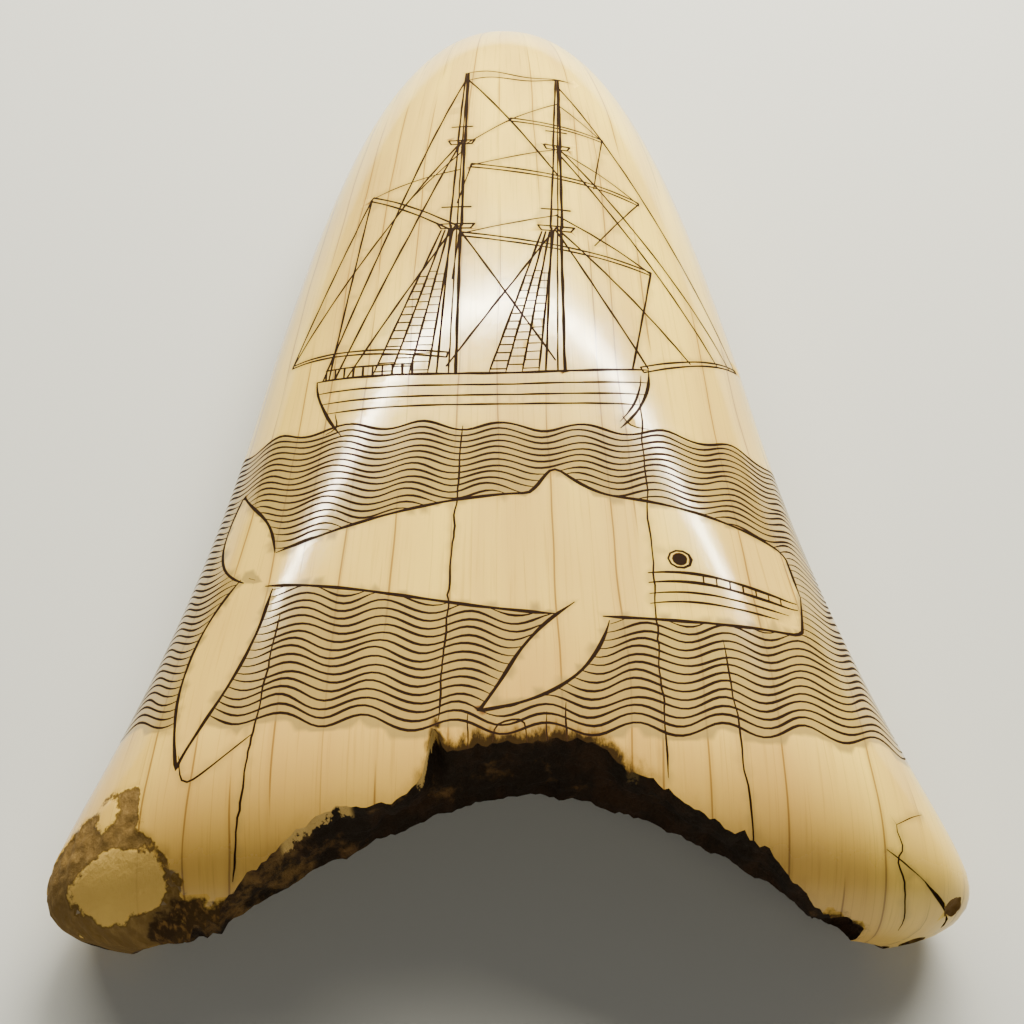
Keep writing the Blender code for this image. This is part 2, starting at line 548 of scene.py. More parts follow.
def inside(points: Array, outline: Array) -> Array:
    """Which points lie inside a closed outline, by counting crossings.

    Args:
        points: rows of s, t.
        outline: the outline's corners in order.

    Returns:
        True for each point inside.
    """
    x, y = points.T
    crossings = np.zeros(len(points), int)
    for (ax, ay), (bx, by) in zip(outline, np.roll(outline, -1, axis=0)):
        spans = (ay > y) != (by > y)
        with np.errstate(divide="ignore", invalid="ignore"):
            meets = ax + (y - ay) * (bx - ax) / (by - ay)
        crossings += spans & (x < meets)
    return crossings % 2 == 1


@dataclass
class Pen:
    """Collects the strokes of the picture, with the slight unsteadiness of a hand-held needle."""

    step: float = 0.75
    straight_step: float = 1.4
    unsteadiness: float = 0.05
    shake_per_mm: float = 0.35
    swell: float = 0.18
    swell_per_mm: float = 0.9
    taper_length: float = 2.2
    point: float = 0.35
    strokes: list[Stroke] = field(default_factory=list)
    blanks: list[Array] = field(default_factory=list)

    def draw(self, points: Array, nib: Nib, taper: Taper = Taper.BOTH, step: float | None = None) -> None:
        """Cuts one line.

        Args:
            points: the path, already smooth.
            nib: how it is cut.
            taper: which ends run out to a point.
            step: spacing of the points kept, where not the pen's own.
        """
        path = resample(np.asarray(points, float), step or self.step)
        places = [(s * self.shake_per_mm, t * self.shake_per_mm) for s, t in path]
        shake = [[noise.noise(Vector((s, t, height))) for height in (0.0, 9.1)] for s, t in places]
        path = path + self.unsteadiness * np.array(shake)
        run = np.concatenate([[0.0], np.cumsum(np.linalg.norm(np.diff(path, axis=0), axis=1))])
        half = np.full(len(path), nib.width / 2)
        half *= 1.0 + self.swell * np.sin(run * self.swell_per_mm + path[0, 0])
        for ends, distance in ((Taper.START, run), (Taper.END, run[-1] - run)):
            if taper in (ends, Taper.BOTH):
                half *= np.clip(self.point + (1.0 - self.point) * distance / self.taper_length, 0.0, 1.0)
        self.strokes.append(Stroke(path, half, nib))

    def line(self, *points: Pair | Array, nib: Nib = RIGGING, taper: Taper = Taper.NONE) -> None:
        """Cuts straight runs from point to point."""
        self.draw(np.asarray(points, float), nib, taper, step=self.straight_step)

    def curve(self, *points: Pair | Array, nib: Nib = OUTLINE, taper: Taper = Taper.BOTH) -> None:
        """Cuts a smooth curve through points."""
        self.draw(spline(np.asarray(points, float)), nib, taper)

    def outline(self, *points: Pair | Array, nib: Nib = RIGGING) -> None:
        """Cuts the closed outline of a small straight-sided shape, side by side."""
        for start, end in zip(points, points[1:] + points[:1]):
            self.draw(np.array([start, end]), nib, Taper.NONE, step=1.0)

    def spar(self, *points: Pair | Array, start: float, end: float, nib: Nib = RIGGING) -> None:
        """Cuts both sides of a tapered spar and closes its ends.

        Args:
            points: the spar's middle line.
            start: its thickness at the first point.
            end: its thickness at the last point.
            nib: how it is cut.
        """
        path = resample(spline(np.asarray(points, float)), 1.2)
        along = np.gradient(path, axis=0)
        across = np.stack([-along[:, 1], along[:, 0]], axis=1) / np.linalg.norm(along, axis=1, keepdims=True)
        offset = across * (np.linspace(start, end, len(path))[:, None] / 2)
        one, other = path + offset, path - offset
        for side in (one, other, np.array([one[0], other[0]]), np.array([one[-1], other[-1]])):
            self.draw(side, nib, Taper.NONE, step=1.0)

    def blank(self, outline: Array) -> None:
        """Keeps later wave rows out of a closed outline."""
        self.blanks.append(np.asarray(outline, float))

    def clipped(self, path: Array, keep: Array, nib: Nib) -> None:
        """Cuts only the runs of a path that are kept.

        Args:
            path: the path's points.
            keep: True for each point kept.
            nib: how it is cut.
        """
        turns = np.flatnonzero(np.diff(np.concatenate([[False], keep, [False]]).astype(int)))
        for start, end in zip(turns[::2], turns[1::2]):
            if end - start > 4:
                self.draw(path[start:end], nib)


@dataclass(frozen=True)
class Mast:
    """A mast in three lengths, each thinner than the one below, with a platform where two lengths meet."""

    foot: Pair
    height: float
    lean: float = 0.03
    joints: Pair = (0.42, 0.70)
    thickness: float = 2.3
    platform: float = 2.4

    def at(self, share: float) -> Array:
        """The place at a share of the height."""
        return np.array([self.foot[0] + self.lean * self.height * share, self.foot[1] + self.height * share])

    def half(self, share: float) -> float:
        """Half the thickness at a share of the height."""
        return self.thickness * (1.0 - 0.8 * share) / 2

    def cut(self, pen: Pen) -> None:
        """Cuts the three lengths, each with its grain, and the two platforms.

        Args:
            pen: the pen.
        """
        levels = (0.0, *self.joints, 1.0)
        for low, high in zip(levels, levels[1:]):
            bottom, top = self.at(low), self.at(high)
            for side, nib in ((-1.0, RIGGING), (0.25, HAIR), (1.0, OUTLINE)):
                start = bottom + (side * self.half(low), 0.0)
                pen.line(start, top + (side * self.half(high) * 0.8, 0.0), nib=nib)
        for i, joint in enumerate(self.joints):
            reach = self.platform * (1.0 - 0.25 * i)
            s, t = self.at(joint)
            pen.outline((s - reach, t + 0.4), (s + reach, t + 0.2), (s + 0.8 * reach, t - 0.6),
                        (s - 0.8 * reach, t - 0.5))
            pen.line((s - 0.8 * reach, t + 3.6), (s + 0.8 * reach, t + 3.4))


@dataclass(frozen=True)
class Brig:
    """A plain brigantine with bare yards in side view, from the usual proportions of such a ship."""

    middle: float = -3.0
    waterline: float = -20.0
    length: float = 41.0
    depth: float = 8.0
    sheer: float = 1.7
    overhang: float = 4.0
    wales: tuple[float, ...] = (0.0, 0.22, 0.42, 0.60)
    mast_places: Pair = (0.40, 0.72)
    mast_heights: Pair = (61.0, 59.0)
    yards: tuple[Pair, ...] = ((0.36, 12.5), (0.59, 11.5), (0.78, 6.5))
    yard_slope: float = -0.2
    throat: float = 0.41
    gaff: Pair = (-12.0, 9.0)
    jaws: float = 0.05
    boom: Pair = (-21.0, 3.5)
    knee: float = 0.98
    bowsprit: Pair = (16.0, 7.0)
    rail_posts: int = 10
    rail_height: float = 1.7
    streamer_size: Pair = (15.0, 2.4)
    streamer_waves: float = 1.3
    short_run: float = 14.0
    shrouds: int = 4
    rung_pitch: float = 1.35
    rung_rise: float = 0.72

    def side(self, along: float, down: float) -> Array:
        """A place on the ship's side.

        Args:
            along: share of the length, from the stern.
            down: share of the depth, from the deck.

        Returns:
            Its s and t.
        """
        stern = self.middle - self.length / 2 + self.overhang * down**1.6
        stem = self.middle + self.length / 2 - self.overhang * down**2.2
        rise = self.sheer * (2.0 * along - 1.0) ** 2 * (1.0 - down)
        return np.array([stern + (stem - stern) * along, self.waterline + self.depth * (1.0 - down) + rise])

    def masts(self) -> tuple[Mast, Mast]:
        """The main mast and the fore mast."""
        main, fore = (Mast(tuple(self.side(place, 0.0)), height)
                      for place, height in zip(self.mast_places, self.mast_heights))
        return main, fore

    def hull(self, pen: Pen) -> None:
        """Cuts the hull: its wales, stern and stem, the rudder, and the water curling off the bow.

        Args:
            pen: the pen.
        """
        for down in self.wales:
            row = np.array([self.side(along, down) for along in np.linspace(0.0, 1.0, 15)])
            pen.draw(row, RIGGING if down else OUTLINE)
        for along in (0.0, 1.0):
            end = np.array([self.side(along, down) for down in np.linspace(0.0, 1.0, 9)])
            pen.draw(end, OUTLINE)
        stem = [self.side(0.975, down) for down in np.linspace(0.1, 0.9, 7)]
        pen.draw(np.array(stem), RIGGING)
        heel, bow = self.side(0.0, 1.0), self.side(1.0, 1.0)
        pen.curve(self.side(0.03, 0.62), heel + (-0.6, 1.4), heel + (-1.9, 0.6), nib=RIGGING)
        pen.curve(bow + (0.3, 1.8), bow + (1.3, 0.5), bow + (3.4, 0.2), nib=RIGGING)

    def rail(self, pen: Pen) -> None:
        """Cuts the rail over the after deck and its posts.

        Args:
            pen: the pen.
        """
        feet = [self.side(along, 0.0) for along in np.linspace(0.03, 0.30, self.rail_posts)]
        heads = [foot + (0.0, self.rail_height) for foot in feet]
        for post in zip(feet, heads):
            pen.draw(np.array(post), RIGGING, Taper.NONE, step=0.8)
        pen.draw(np.array(heads), RIGGING, Taper.NONE)

    def ratlines(self, pen: Pen, mast: Mast, spread: float) -> None:
        """Cuts a fan of shrouds from a mast's lower platform to the deck, and the rungs across them.

        Args:
            pen: the pen.
            mast: the mast they hold.
            spread: how far aft of the mast the last one ends.
        """
        heads = [mast.at(mast.joints[0]) + (-0.4 - 0.5 * i, -0.8) for i in range(self.shrouds)]
        along = (mast.foot[0] - self.middle) / self.length + 0.5
        runs = [(spread * (i + 1) / self.shrouds) / self.length for i in range(self.shrouds)]
        ropes = list(zip(heads, [self.side(along - run, 0.0) for run in runs]))
        for rope in ropes:
            pen.line(*rope, taper=Taper.END)
        for gap, pair in enumerate(zip(ropes, ropes[1:])):
            length = math.dist(*pair[1])
            for rung in range(int(self.rung_rise * length / self.rung_pitch)):
                share = 1.0 - (rung + 0.5 + 0.5 * (gap % 2)) * self.rung_pitch / length
                ends = np.array([head + (foot - head) * share for head, foot in pair])
                pen.draw(ends, HAIR, Taper.NONE, step=0.5)

    def yard_ends(self, mast: Mast) -> list[tuple[Array, Array]]:
        """The two ends of each yard, lowest yard first.

        Args:
            mast: the mast they hang on.

        Returns:
            The left and the right end of each.
        """
        ends = []
        for share, half in self.yards:
            reach = np.array([half, half * self.yard_slope])
            ends.append((mast.at(share) - reach, mast.at(share) + reach))
        return ends

    def spars(self, pen: Pen) -> None:
        """Cuts the yards, the gaff, the boom and the bowsprit.

        Args:
            pen: the pen.
        """
        main, fore = self.masts()
        for left, right in self.yard_ends(fore):
            pen.spar(left, right, start=0.7, end=0.6)
        throat, jaws, knee = main.at(self.throat), main.at(self.jaws), self.side(self.knee, 0.0)
        pen.spar(throat, throat + self.gaff, start=1.1, end=0.7)
        pen.spar(jaws, jaws + self.boom, start=0.8, end=0.4)
        pen.spar(knee, knee + self.bowsprit, start=0.9, end=0.4)

    def rigging(self, pen: Pen) -> None:
        """Cuts the stays, lifts, braces and sheets from one named place to another.

        Args:
            pen: the pen.
        """
        main, fore = self.masts()
        knee, sprit, gaff = self.side(self.knee, 0.0), np.array(self.bowsprit), np.array(self.gaff)
        throat, boom_end = main.at(self.throat), main.at(self.jaws) + self.boom
        peak = throat + gaff
        headstays = ((0.97, 0.97), (0.70, 0.86), (0.68, 0.70), (0.42, 0.42), (0.41, 0.05))
        backstays = ((0.97, 0.02), (0.70, 0.06), (0.42, 0.10))
        runs = [(fore.at(share), knee + sprit * along) for share, along in headstays]
        runs += [(main.at(share), self.side(along, 0.0)) for share, along in backstays]
        runs += [(main.at(0.97), fore.at(0.60)), (main.at(0.42), fore.at(0.03))]
        runs += [(fore.at(0.42), main.at(0.02))]
        runs += [(main.at(0.60), peak), (main.at(0.66), throat + gaff * 0.6)]
        runs += [(peak, boom_end), (peak, self.side(0.04, 0.0)), (main.at(0.70), boom_end)]
        for (share, _), (left, right) in zip(self.yards, self.yard_ends(fore)):
            lift = fore.at(min(share + 0.1, 0.97))
            runs += [(left, lift), (right, lift), (left, main.at(max(share - 0.1, 0.1)))]
            runs.append((right, self.side(0.95, 0.0) if share < 0.5 else fore.at(share - 0.2) + (5.0, -1.0)))
        for start, end in runs:
            pen.line(start, end, nib=HAIR if math.dist(start, end) < self.short_run else RIGGING)

    def streamer(self, pen: Pen) -> None:
        """Cuts a pointed streamer flying forward from the main mast's head.

        Args:
            pen: the pen.
        """
        s, t = self.masts()[0].at(1.0)
        length, depth = self.streamer_size
        u = np.linspace(0.0, 1.0, 24)
        ripple = 0.6 * np.sin(2.0 * math.pi * self.streamer_waves * u) - 2.2 * u
        for drop in (0.0, depth):
            pen.draw(np.stack([s + length * u, t + ripple - drop * (1.0 - u)], axis=1), RIGGING)

    def cut(self, pen: Pen) -> None:
        """Cuts the whole ship.

        Args:
            pen: the pen.
        """
        main, fore = self.masts()
        self.hull(pen)
        self.rail(pen)
        for mast, spread in ((main, 9.0), (fore, 8.0)):
            mast.cut(pen)
            self.ratlines(pen, mast, spread)
        self.spars(pen)
        self.rigging(pen)
        self.streamer(pen)


@dataclass(frozen=True)
class Leaf:
    """A flipper or half of the flukes: a leaf that bends as it narrows to a point."""

    root: Pair
    length: float
    width: float
    heading: float
    bend: float

    def outline(self) -> Array:
        """The outline, from one side of the root round the tip to the other.

        Returns:
            Rows of s, t.
        """
        u = np.linspace(0.0, 1.0, 22)
        turn = np.radians(self.heading + self.bend * u)
        step = self.length / (len(u) - 1)
        middle = np.stack([np.cumsum(np.cos(turn)), np.cumsum(np.sin(turn))], axis=1) * step + self.root
        half = 0.5 * self.width * np.sin(math.pi * np.clip(0.24 + 0.76 * u, 0.0, 1.0)) ** 1.1
        across = np.stack([-np.sin(turn), np.cos(turn)], axis=1) * half[:, None]
        return np.vstack([middle + across, (middle - across)[::-1]])


@dataclass(frozen=True)
class Whale:
    """A plain whale in side view, head to the right, worked out from its length and depth."""

    tail: Pair = (-28.0, -38.0)
    length: float = 62.0
    depth: float = 16.0
    stock: float = 4.0
    brow: float = 11.5
    fullest: float = 0.58
    arch: float = 1.5
    fall: float = -2.0
    fin_place: float = 0.54
    fin: Pair = (7.0, 3.6)
    eye: Pair = (0.76, 0.06)
    mouth: Pair = (0.70, 0.25)
    flipper: Leaf = Leaf((9.5, -44.5), 17.0, 6.5, -122.0, -26.0)
    upper_fluke: Leaf = Leaf((-27.5, -38.0), 14.0, 7.0, 128.0, -34.0)
    lower_fluke: Leaf = Leaf((-27.5, -38.5), 23.0, 7.5, -118.0, 24.0)

    def place(self, along: float | Array, up: float | Array) -> Array:
        """A place on the body.

        Args:
            along: share of the length, from the tail.
            up: share of the half depth, 1 on the back and -1 on the belly.

        Returns:
            Its s and t.
        """
        along = np.asarray(along, float)
        swelling = np.sin(0.5 * math.pi * np.clip(along / self.fullest, 0.0, 1.0)) ** 1.25
        depth = self.stock + (self.depth - self.stock) * swelling
        ahead = np.clip((along - self.fullest) / (1.0 - self.fullest), 0.0, 1.0)
        depth = depth + (self.brow - self.depth) * ahead**2
        snout = np.clip((along - 0.94) / 0.06, 0.0, 1.0)
        depth = depth * np.clip(1.0 - snout**4, 0.0, 1.0) ** 0.25
        middle = self.tail[1] + self.fall * along + self.arch * np.sin(math.pi * along)
        place = np.broadcast_arrays(self.tail[0] + self.length * along, middle + 0.5 * depth * up)
        return np.stack(place, axis=-1)

    def back(self) -> Array:
        """The upper outline with its hooked fin, from the tail to the snout.

        Returns:
            Rows of s, t.
        """
        along = np.linspace(0.0, 1.0, 70)
        line = self.place(along, 1.0)
        reach = (along - self.fin_place) * self.length / self.fin[0]
        ahead, behind = np.clip(1.0 + 3.0 * reach, 0.0, 1.0) ** 0.7, np.clip(1.0 - reach, 0.0, 1.0) ** 1.8
        line[:, 1] += self.fin[1] * np.where(reach < 0.0, ahead, behind)
        return line

    def belly(self) -> Array:
        """The lower outline, from the snout to the tail."""
        return self.place(np.linspace(1.0, 0.0, 60), -1.0)

    def mouth_line(self, down: float) -> Array:
        """A line of the mouth or throat, from its corner to the snout, a share further down."""
        u = np.linspace(0.0, 1.0, 24)
        along = self.mouth[0] + (0.985 - self.mouth[0]) * u
        return self.place(along, -self.mouth[1] - down + 0.16 * np.sin(math.pi * u) * (1.0 - u))

    def features(self, pen: Pen) -> None:
        """Cuts the eye, the mouth with its teeth, and the folds of the throat.

        Args:
            pen: the pen.
        """
        turn = np.linspace(0.0, 2.0 * math.pi, 22)
        eye = self.place(*self.eye)
        pen.draw(eye + np.stack([1.35 * np.cos(turn), 1.15 * np.sin(turn)], axis=1), RIGGING, Taper.NONE)
        pupil = eye + 0.35 * np.stack([1.15 * np.cos(turn), np.sin(turn)], axis=1)
        pen.draw(pupil, PUPIL, Taper.NONE, step=0.2)
        for down, nib in ((0.0, OUTLINE), (0.16, OUTLINE), (0.34, RIGGING), (0.50, RIGGING)):
            line = self.mouth_line(down)
            pen.draw(line[: len(line) - int(16 * max(down - 0.2, 0.0))], nib)
        upper, lower = self.mouth_line(0.0), self.mouth_line(0.16)
        for i in range(8, 22, 2):
            pen.draw(np.array([upper[i], lower[i]]), HAIR, Taper.NONE, step=0.4)

    def cut(self, pen: Pen) -> None:
        """Cuts the whale and keeps the waves out of it.

        Args:
            pen: the pen.
        """
        back, belly = self.back(), self.belly()
        body = np.vstack([back, belly])
        flipper = self.flipper.outline()
        for line in (back, belly):
            line = resample(line, 0.25)
            hidden = inside(line, flipper)
            for fluke in (self.upper_fluke, self.lower_fluke):
                hidden |= inside(line, fluke.outline())
            pen.clipped(line, ~hidden, OUTLINE)
        pen.draw(flipper, OUTLINE)
        for fluke in (self.upper_fluke, self.lower_fluke):
            line = resample(fluke.outline(), 0.25)
            pen.clipped(line, ~inside(line, body), OUTLINE)
            pen.blank(fluke.outline())
        self.features(pen)
        pen.blank(flipper)
        pen.blank(body)


@dataclass(frozen=True)
class Sea:
    """Rows of waves from the ship's waterline to the broken edge, by Geometry Nodes on the flat sheet."""

    rows: int = 42
    points: int = 260
    seed: int = 11
    half_width: float = 58.0
    first: float = -20.2
    pitch: float = 0.88
    pitch_growth: float = 0.0015
    bow: float = 0.0017
    tilt: float = 0.035
    wavelength_top: float = 9.35
    wavelength_bottom: float = 9.1
    height_top: float = 0.6
    height_bottom: float = 0.76
    shift_top: float = 0.2
    shift_bottom: float = 5.3
    wobble: float = 0.16

    def inputs(self) -> dict[str, int | float]:
        """The sizes above under the names that the tree's inputs have."""
        return {size.name.replace("_", " ").title(): getattr(self, size.name) for size in fields(self)}

    def tree(self) -> NodeTree:
        """The node tree that lays out the rows, with its sizes as named inputs.

        Returns:
            The tree.
        """
        tree = bpy.data.node_groups.new("wave_rows", "GeometryNodeTree")
        add = partial(add_node, tree)
        for name, size in self.inputs().items():
            kind = "NodeSocketInt" if isinstance(size, int) else "NodeSocketFloat"
            tree.interface.new_socket(name, in_out="INPUT", socket_type=kind)
        tree.interface.new_socket("Material", in_out="INPUT", socket_type="NodeSocketMaterial")
        tree.interface.new_socket("Geometry", in_out="OUTPUT", socket_type="NodeSocketGeometry")
        group = tree.nodes.new("NodeGroupInput")
        value = {socket.name: socket for socket in group.outputs if socket.name}
        self.work_out(tree, value, (
            ("last", "SUBTRACT", "Rows", 1.0), ("gaps", "SUBTRACT", "Points", 1.0),
            ("width", "MULTIPLY", "Half Width", 2.0), ("pace", "DIVIDE", "width", "gaps"),
            ("left", "MULTIPLY", "Half Width", -1.0)))
        row_line = add("GeometryNodeMeshLine", {"Count": value["Rows"], "Offset": (0.0, 0.0, 0.0)})
        index = add("GeometryNodeInputIndex")
        inputs = {"Geometry": row_line, "Name": "row", "Value": index}
        numbered = add("GeometryNodeStoreNamedAttribute", inputs, data_type="FLOAT", domain="POINT")
        start = add("CombineXYZ", {"X": value["left"]})
        offset = add("CombineXYZ", {"X": value["pace"]})
        inputs = {"Count": value["Points"], "Start Location": start, "Offset": offset}
        across = add("GeometryNodeMeshLine", inputs)
        copies = add("GeometryNodeInstanceOnPoints", {"Points": numbered, "Instance": across})
        real = add("GeometryNodeRealizeInstances", {"Geometry": copies})

        value["row"] = add("GeometryNodeInputNamedAttribute", {"Name": "row"}, data_type="FLOAT")
        position = add("GeometryNodeInputPosition")
        value["s"] = add("SeparateXYZ", {"Vector": position})
        self.work_out(tree, value, (
            ("share", "DIVIDE", "row", "last"), ("noise x", "MULTIPLY", "s", 0.09),
            ("noise y", "MULTIPLY", "row", 0.35)))
        inputs = {"X": value["noise x"], "Y": value["noise y"], "Z": value["Seed"]}
        place = add("CombineXYZ", inputs)
        value["noise"] = add("TexNoise", {"Vector": place, "Scale": 1.0, "Detail": 1.0})
        for name in ("Shift", "Wavelength", "Height"):
            self.work_out(tree, value, (
                ("change", "SUBTRACT", name + " Bottom", name + " Top"),
                ("part", "MULTIPLY", "change", "share"), (name, "ADD", name + " Top", "part")))
        self.work_out(tree, value, (
            ("uneven", "SUBTRACT", "noise", 0.5), ("moved", "ADD", "s", "Shift"),
            ("turns", "DIVIDE", "moved", "Wavelength"), ("slip", "MULTIPLY", "uneven", 0.25),
            ("turns", "ADD", "turns", "slip"), ("turns", "ADD", "turns", 0.25),
            ("angle", "MULTIPLY", "turns", 2.0 * math.pi), ("swell", "SINE", "angle", 0.0),
            ("liveliness", "MULTIPLY", "uneven", 0.8), ("liveliness", "ADD", "liveliness", 1.0),
            ("height", "MULTIPLY", "Height", "liveliness"), ("swell", "MULTIPLY", "swell", "height"),
            ("drop", "MULTIPLY", "row", "Pitch"), ("squared", "MULTIPLY", "row", "row"),
            ("growth", "MULTIPLY", "squared", "Pitch Growth"), ("level", "SUBTRACT", "First", "drop"),
            ("level", "SUBTRACT", "level", "growth"), ("far", "MULTIPLY", "s", "s"),
            ("bow", "MULTIPLY", "far", "Bow"), ("level", "ADD", "level", "bow"),
            ("tilt", "MULTIPLY", "s", "Tilt"), ("level", "SUBTRACT", "level", "tilt"),
            ("level", "ADD", "level", "swell"), ("shake", "MULTIPLY", "uneven", "Wobble"),
            ("level", "ADD", "level", "shake")))
        moved = add("CombineXYZ", {"X": value["s"], "Y": value["level"]})
        shaped = add("GeometryNodeSetPosition", {"Geometry": real, "Position": moved})
        whole = add("GeometryNodeRealizeInstances", {"Geometry": shaped})
        dressed = add("GeometryNodeSetMaterial", {"Geometry": whole, "Material": value["Material"]})
        add("NodeGroupOutput", {"Geometry": dressed})
        return tree

    @staticmethod
    def work_out(tree: NodeTree, value: dict, sums: tuple) -> None:
        """Adds a row of sums to the tree, each kept under its name for the next ones.

        Args:
            tree: the node tree.
            value: the sockets known so far, by name; results are added to it.
            sums: a result's name, the operation, and two numbers or names for each sum.
        """
        for result, operation, first, second in sums:
            terms = {0: value.get(first, first), 1: value.get(second, second)}
            value[result] = add_node(tree, "Math", terms, operation=operation)

    def paths(self) -> Array:
        """The rows as arrays of points, by evaluating the tree once.

        Returns:
            An array of rows by points by s, t.
        """
        carrier = new_object("wave_rows", bpy.data.meshes.new("wave_rows"))
        modifier = carrier.modifiers.new("wave_rows", "NODES")
        modifier.node_group = self.tree()
        values = self.inputs()
        for socket in modifier.node_group.interface.items_tree:
            if socket.name in values:
                modifier[socket.identifier] = values[socket.name]
        evaluated = carrier.evaluated_get(bpy.context.evaluated_depsgraph_get())
        mesh = bpy.data.meshes.new_from_object(evaluated)
        points = stored(mesh, "position", 3)
        bpy.data.objects.remove(carrier, do_unlink=True)
        bpy.data.meshes.remove(mesh)
        return points.reshape(self.rows, self.points, 3)[:, :, :2]

    def cut(self, pen: Pen, crown: CrownMap, edge: BrokenEdge) -> None:
        """Cuts the rows where nothing else is drawn and the surface is left.

        Args:
            pen: the pen.
            crown: the unrolled crown.
            edge: the broken edge.
        """
        for number, row in enumerate(self.paths()):
            row = resample(row, 0.25)
            short = 1.8 + 1.2 * noise.noise(Vector((number * 0.7, 2.0, float(self.seed))))
            keep = np.abs(row[:, 0]) < crown.half_span(row[:, 1]) - short
            places = crown.place(np.stack([np.where(keep, row[:, 0], 0.0), row[:, 1]], axis=1))
            keep &= places[:, 1] > edge.at(places[:, 0]) - 1.0
            for blank in pen.blanks:
                keep &= ~inside(row, blank)
            pen.clipped(row, keep, WAVE if number else WATERLINE)


@dataclass(frozen=True)
class Crack:
    """One drying crack that follows the grain between two places, with a small wander of its own."""

    start: Pair
    end: Pair
    nib: Nib
    wander: float = 0.5
    taper: Taper = Taper.BOTH

    def path(self) -> Array:
        """The crack's points.

        Returns:
            Rows of s, t.
        """
        u = np.linspace(0.0, 1.0, max(int(math.dist(self.start, self.end) / 0.8), 4))[:, None]
        line = np.array(self.start) + (np.array(self.end) - np.array(self.start)) * u
        sway = [noise.fractal(Vector((0.2 * t, self.start[0], 4.0)), 0.6, 2.2, 5) for _, t in line]
        line[:, 0] += self.wander * np.array(sway) * np.sin(math.pi * u[:, 0]) ** 0.5
        return line


@dataclass(frozen=True)
class Cracks:
    """Drying cracks along the grain, long and short, two lifted flakes, and a fork on the right lobe."""

    long: tuple[Crack, ...] = (
        Crack((-5.0, -20.0), (-7.0, -58.0), HAIR_CRACK, 0.35),
        Crack((16.0, -15.0), (16.0, -64.0), HAIR, 0.35))
    short: tuple[Crack, ...] = (
        Crack((23.0, -48.0), (24.5, -72.0), HAIR, 0.3),
        Crack((-24.5, -44.0), (-27.5, -74.0), HAIR_CRACK, 0.4))
    flakes: tuple[tuple[Pair, ...], ...] = (
        ((-34.0, -60.0), (-33.0, -63.0), (-30.5, -62.0), (-26.0, -58.5)),
        ((-1.5, -60.5), (-1.0, -58.5), (1.5, -58.0), (2.0, -60.5)))
    rim: tuple[Crack, ...] = (
        Crack((-4.0, -57.0), (-4.0, -61.5), HAIR, 0.3), Crack((4.0, -57.0), (4.0, -61.5), HAIR, 0.3),
        Crack((6.0, -56.0), (6.0, -61.5), HAIR, 0.3))
    fork: tuple[Crack, ...] = (
        Crack((40.0, -67.0), (41.0, -79.5), HAIR, 1.0), Crack((38.5, -70.0), (43.0, -73.0), HAIR, 0.5),
        Crack((43.0, -73.0), (48.0, -77.0), OPEN_CRACK, 0.5, Taper.START),
        Crack((40.0, -67.0), (44.0, -65.0), FAINT, 1.0))

    def cut(self, pen: Pen) -> None:
        """Cuts every crack.

        Args:
            pen: the pen.
        """
        for crack in (*self.long, *self.short, *self.rim, *self.fork):
            pen.draw(crack.path(), crack.nib, crack.taper)
        for flake in self.flakes:
            pen.curve(*flake, nib=HAIR)


@dataclass(frozen=True)
class Patch:
    """A ragged oval patch on the flat sheet."""

    middle: Pair
    reach: Pair
    raggedness: float

    def depth_inside(self, flat: Array) -> Array:
        """How far inside the patch each place is, in mm, negative outside.

        Args:
            flat: rows of s, t.

        Returns:
            One depth a place.
        """
        offset = (np.asarray(flat, float) - self.middle) / self.reach
        inward = (1.0 - np.hypot(offset[:, 0], offset[:, 1])) * min(self.reach)
        close = np.flatnonzero(np.abs(inward) < 4.0 + 2.0 * self.raggedness)
        for i in close:
            place = Vector((flat[i][0] * 0.35, flat[i][1] * 0.35, self.middle[0]))
            inward[i] += self.raggedness * noise.fractal(place, 0.7, 2.2, 4)
        return inward


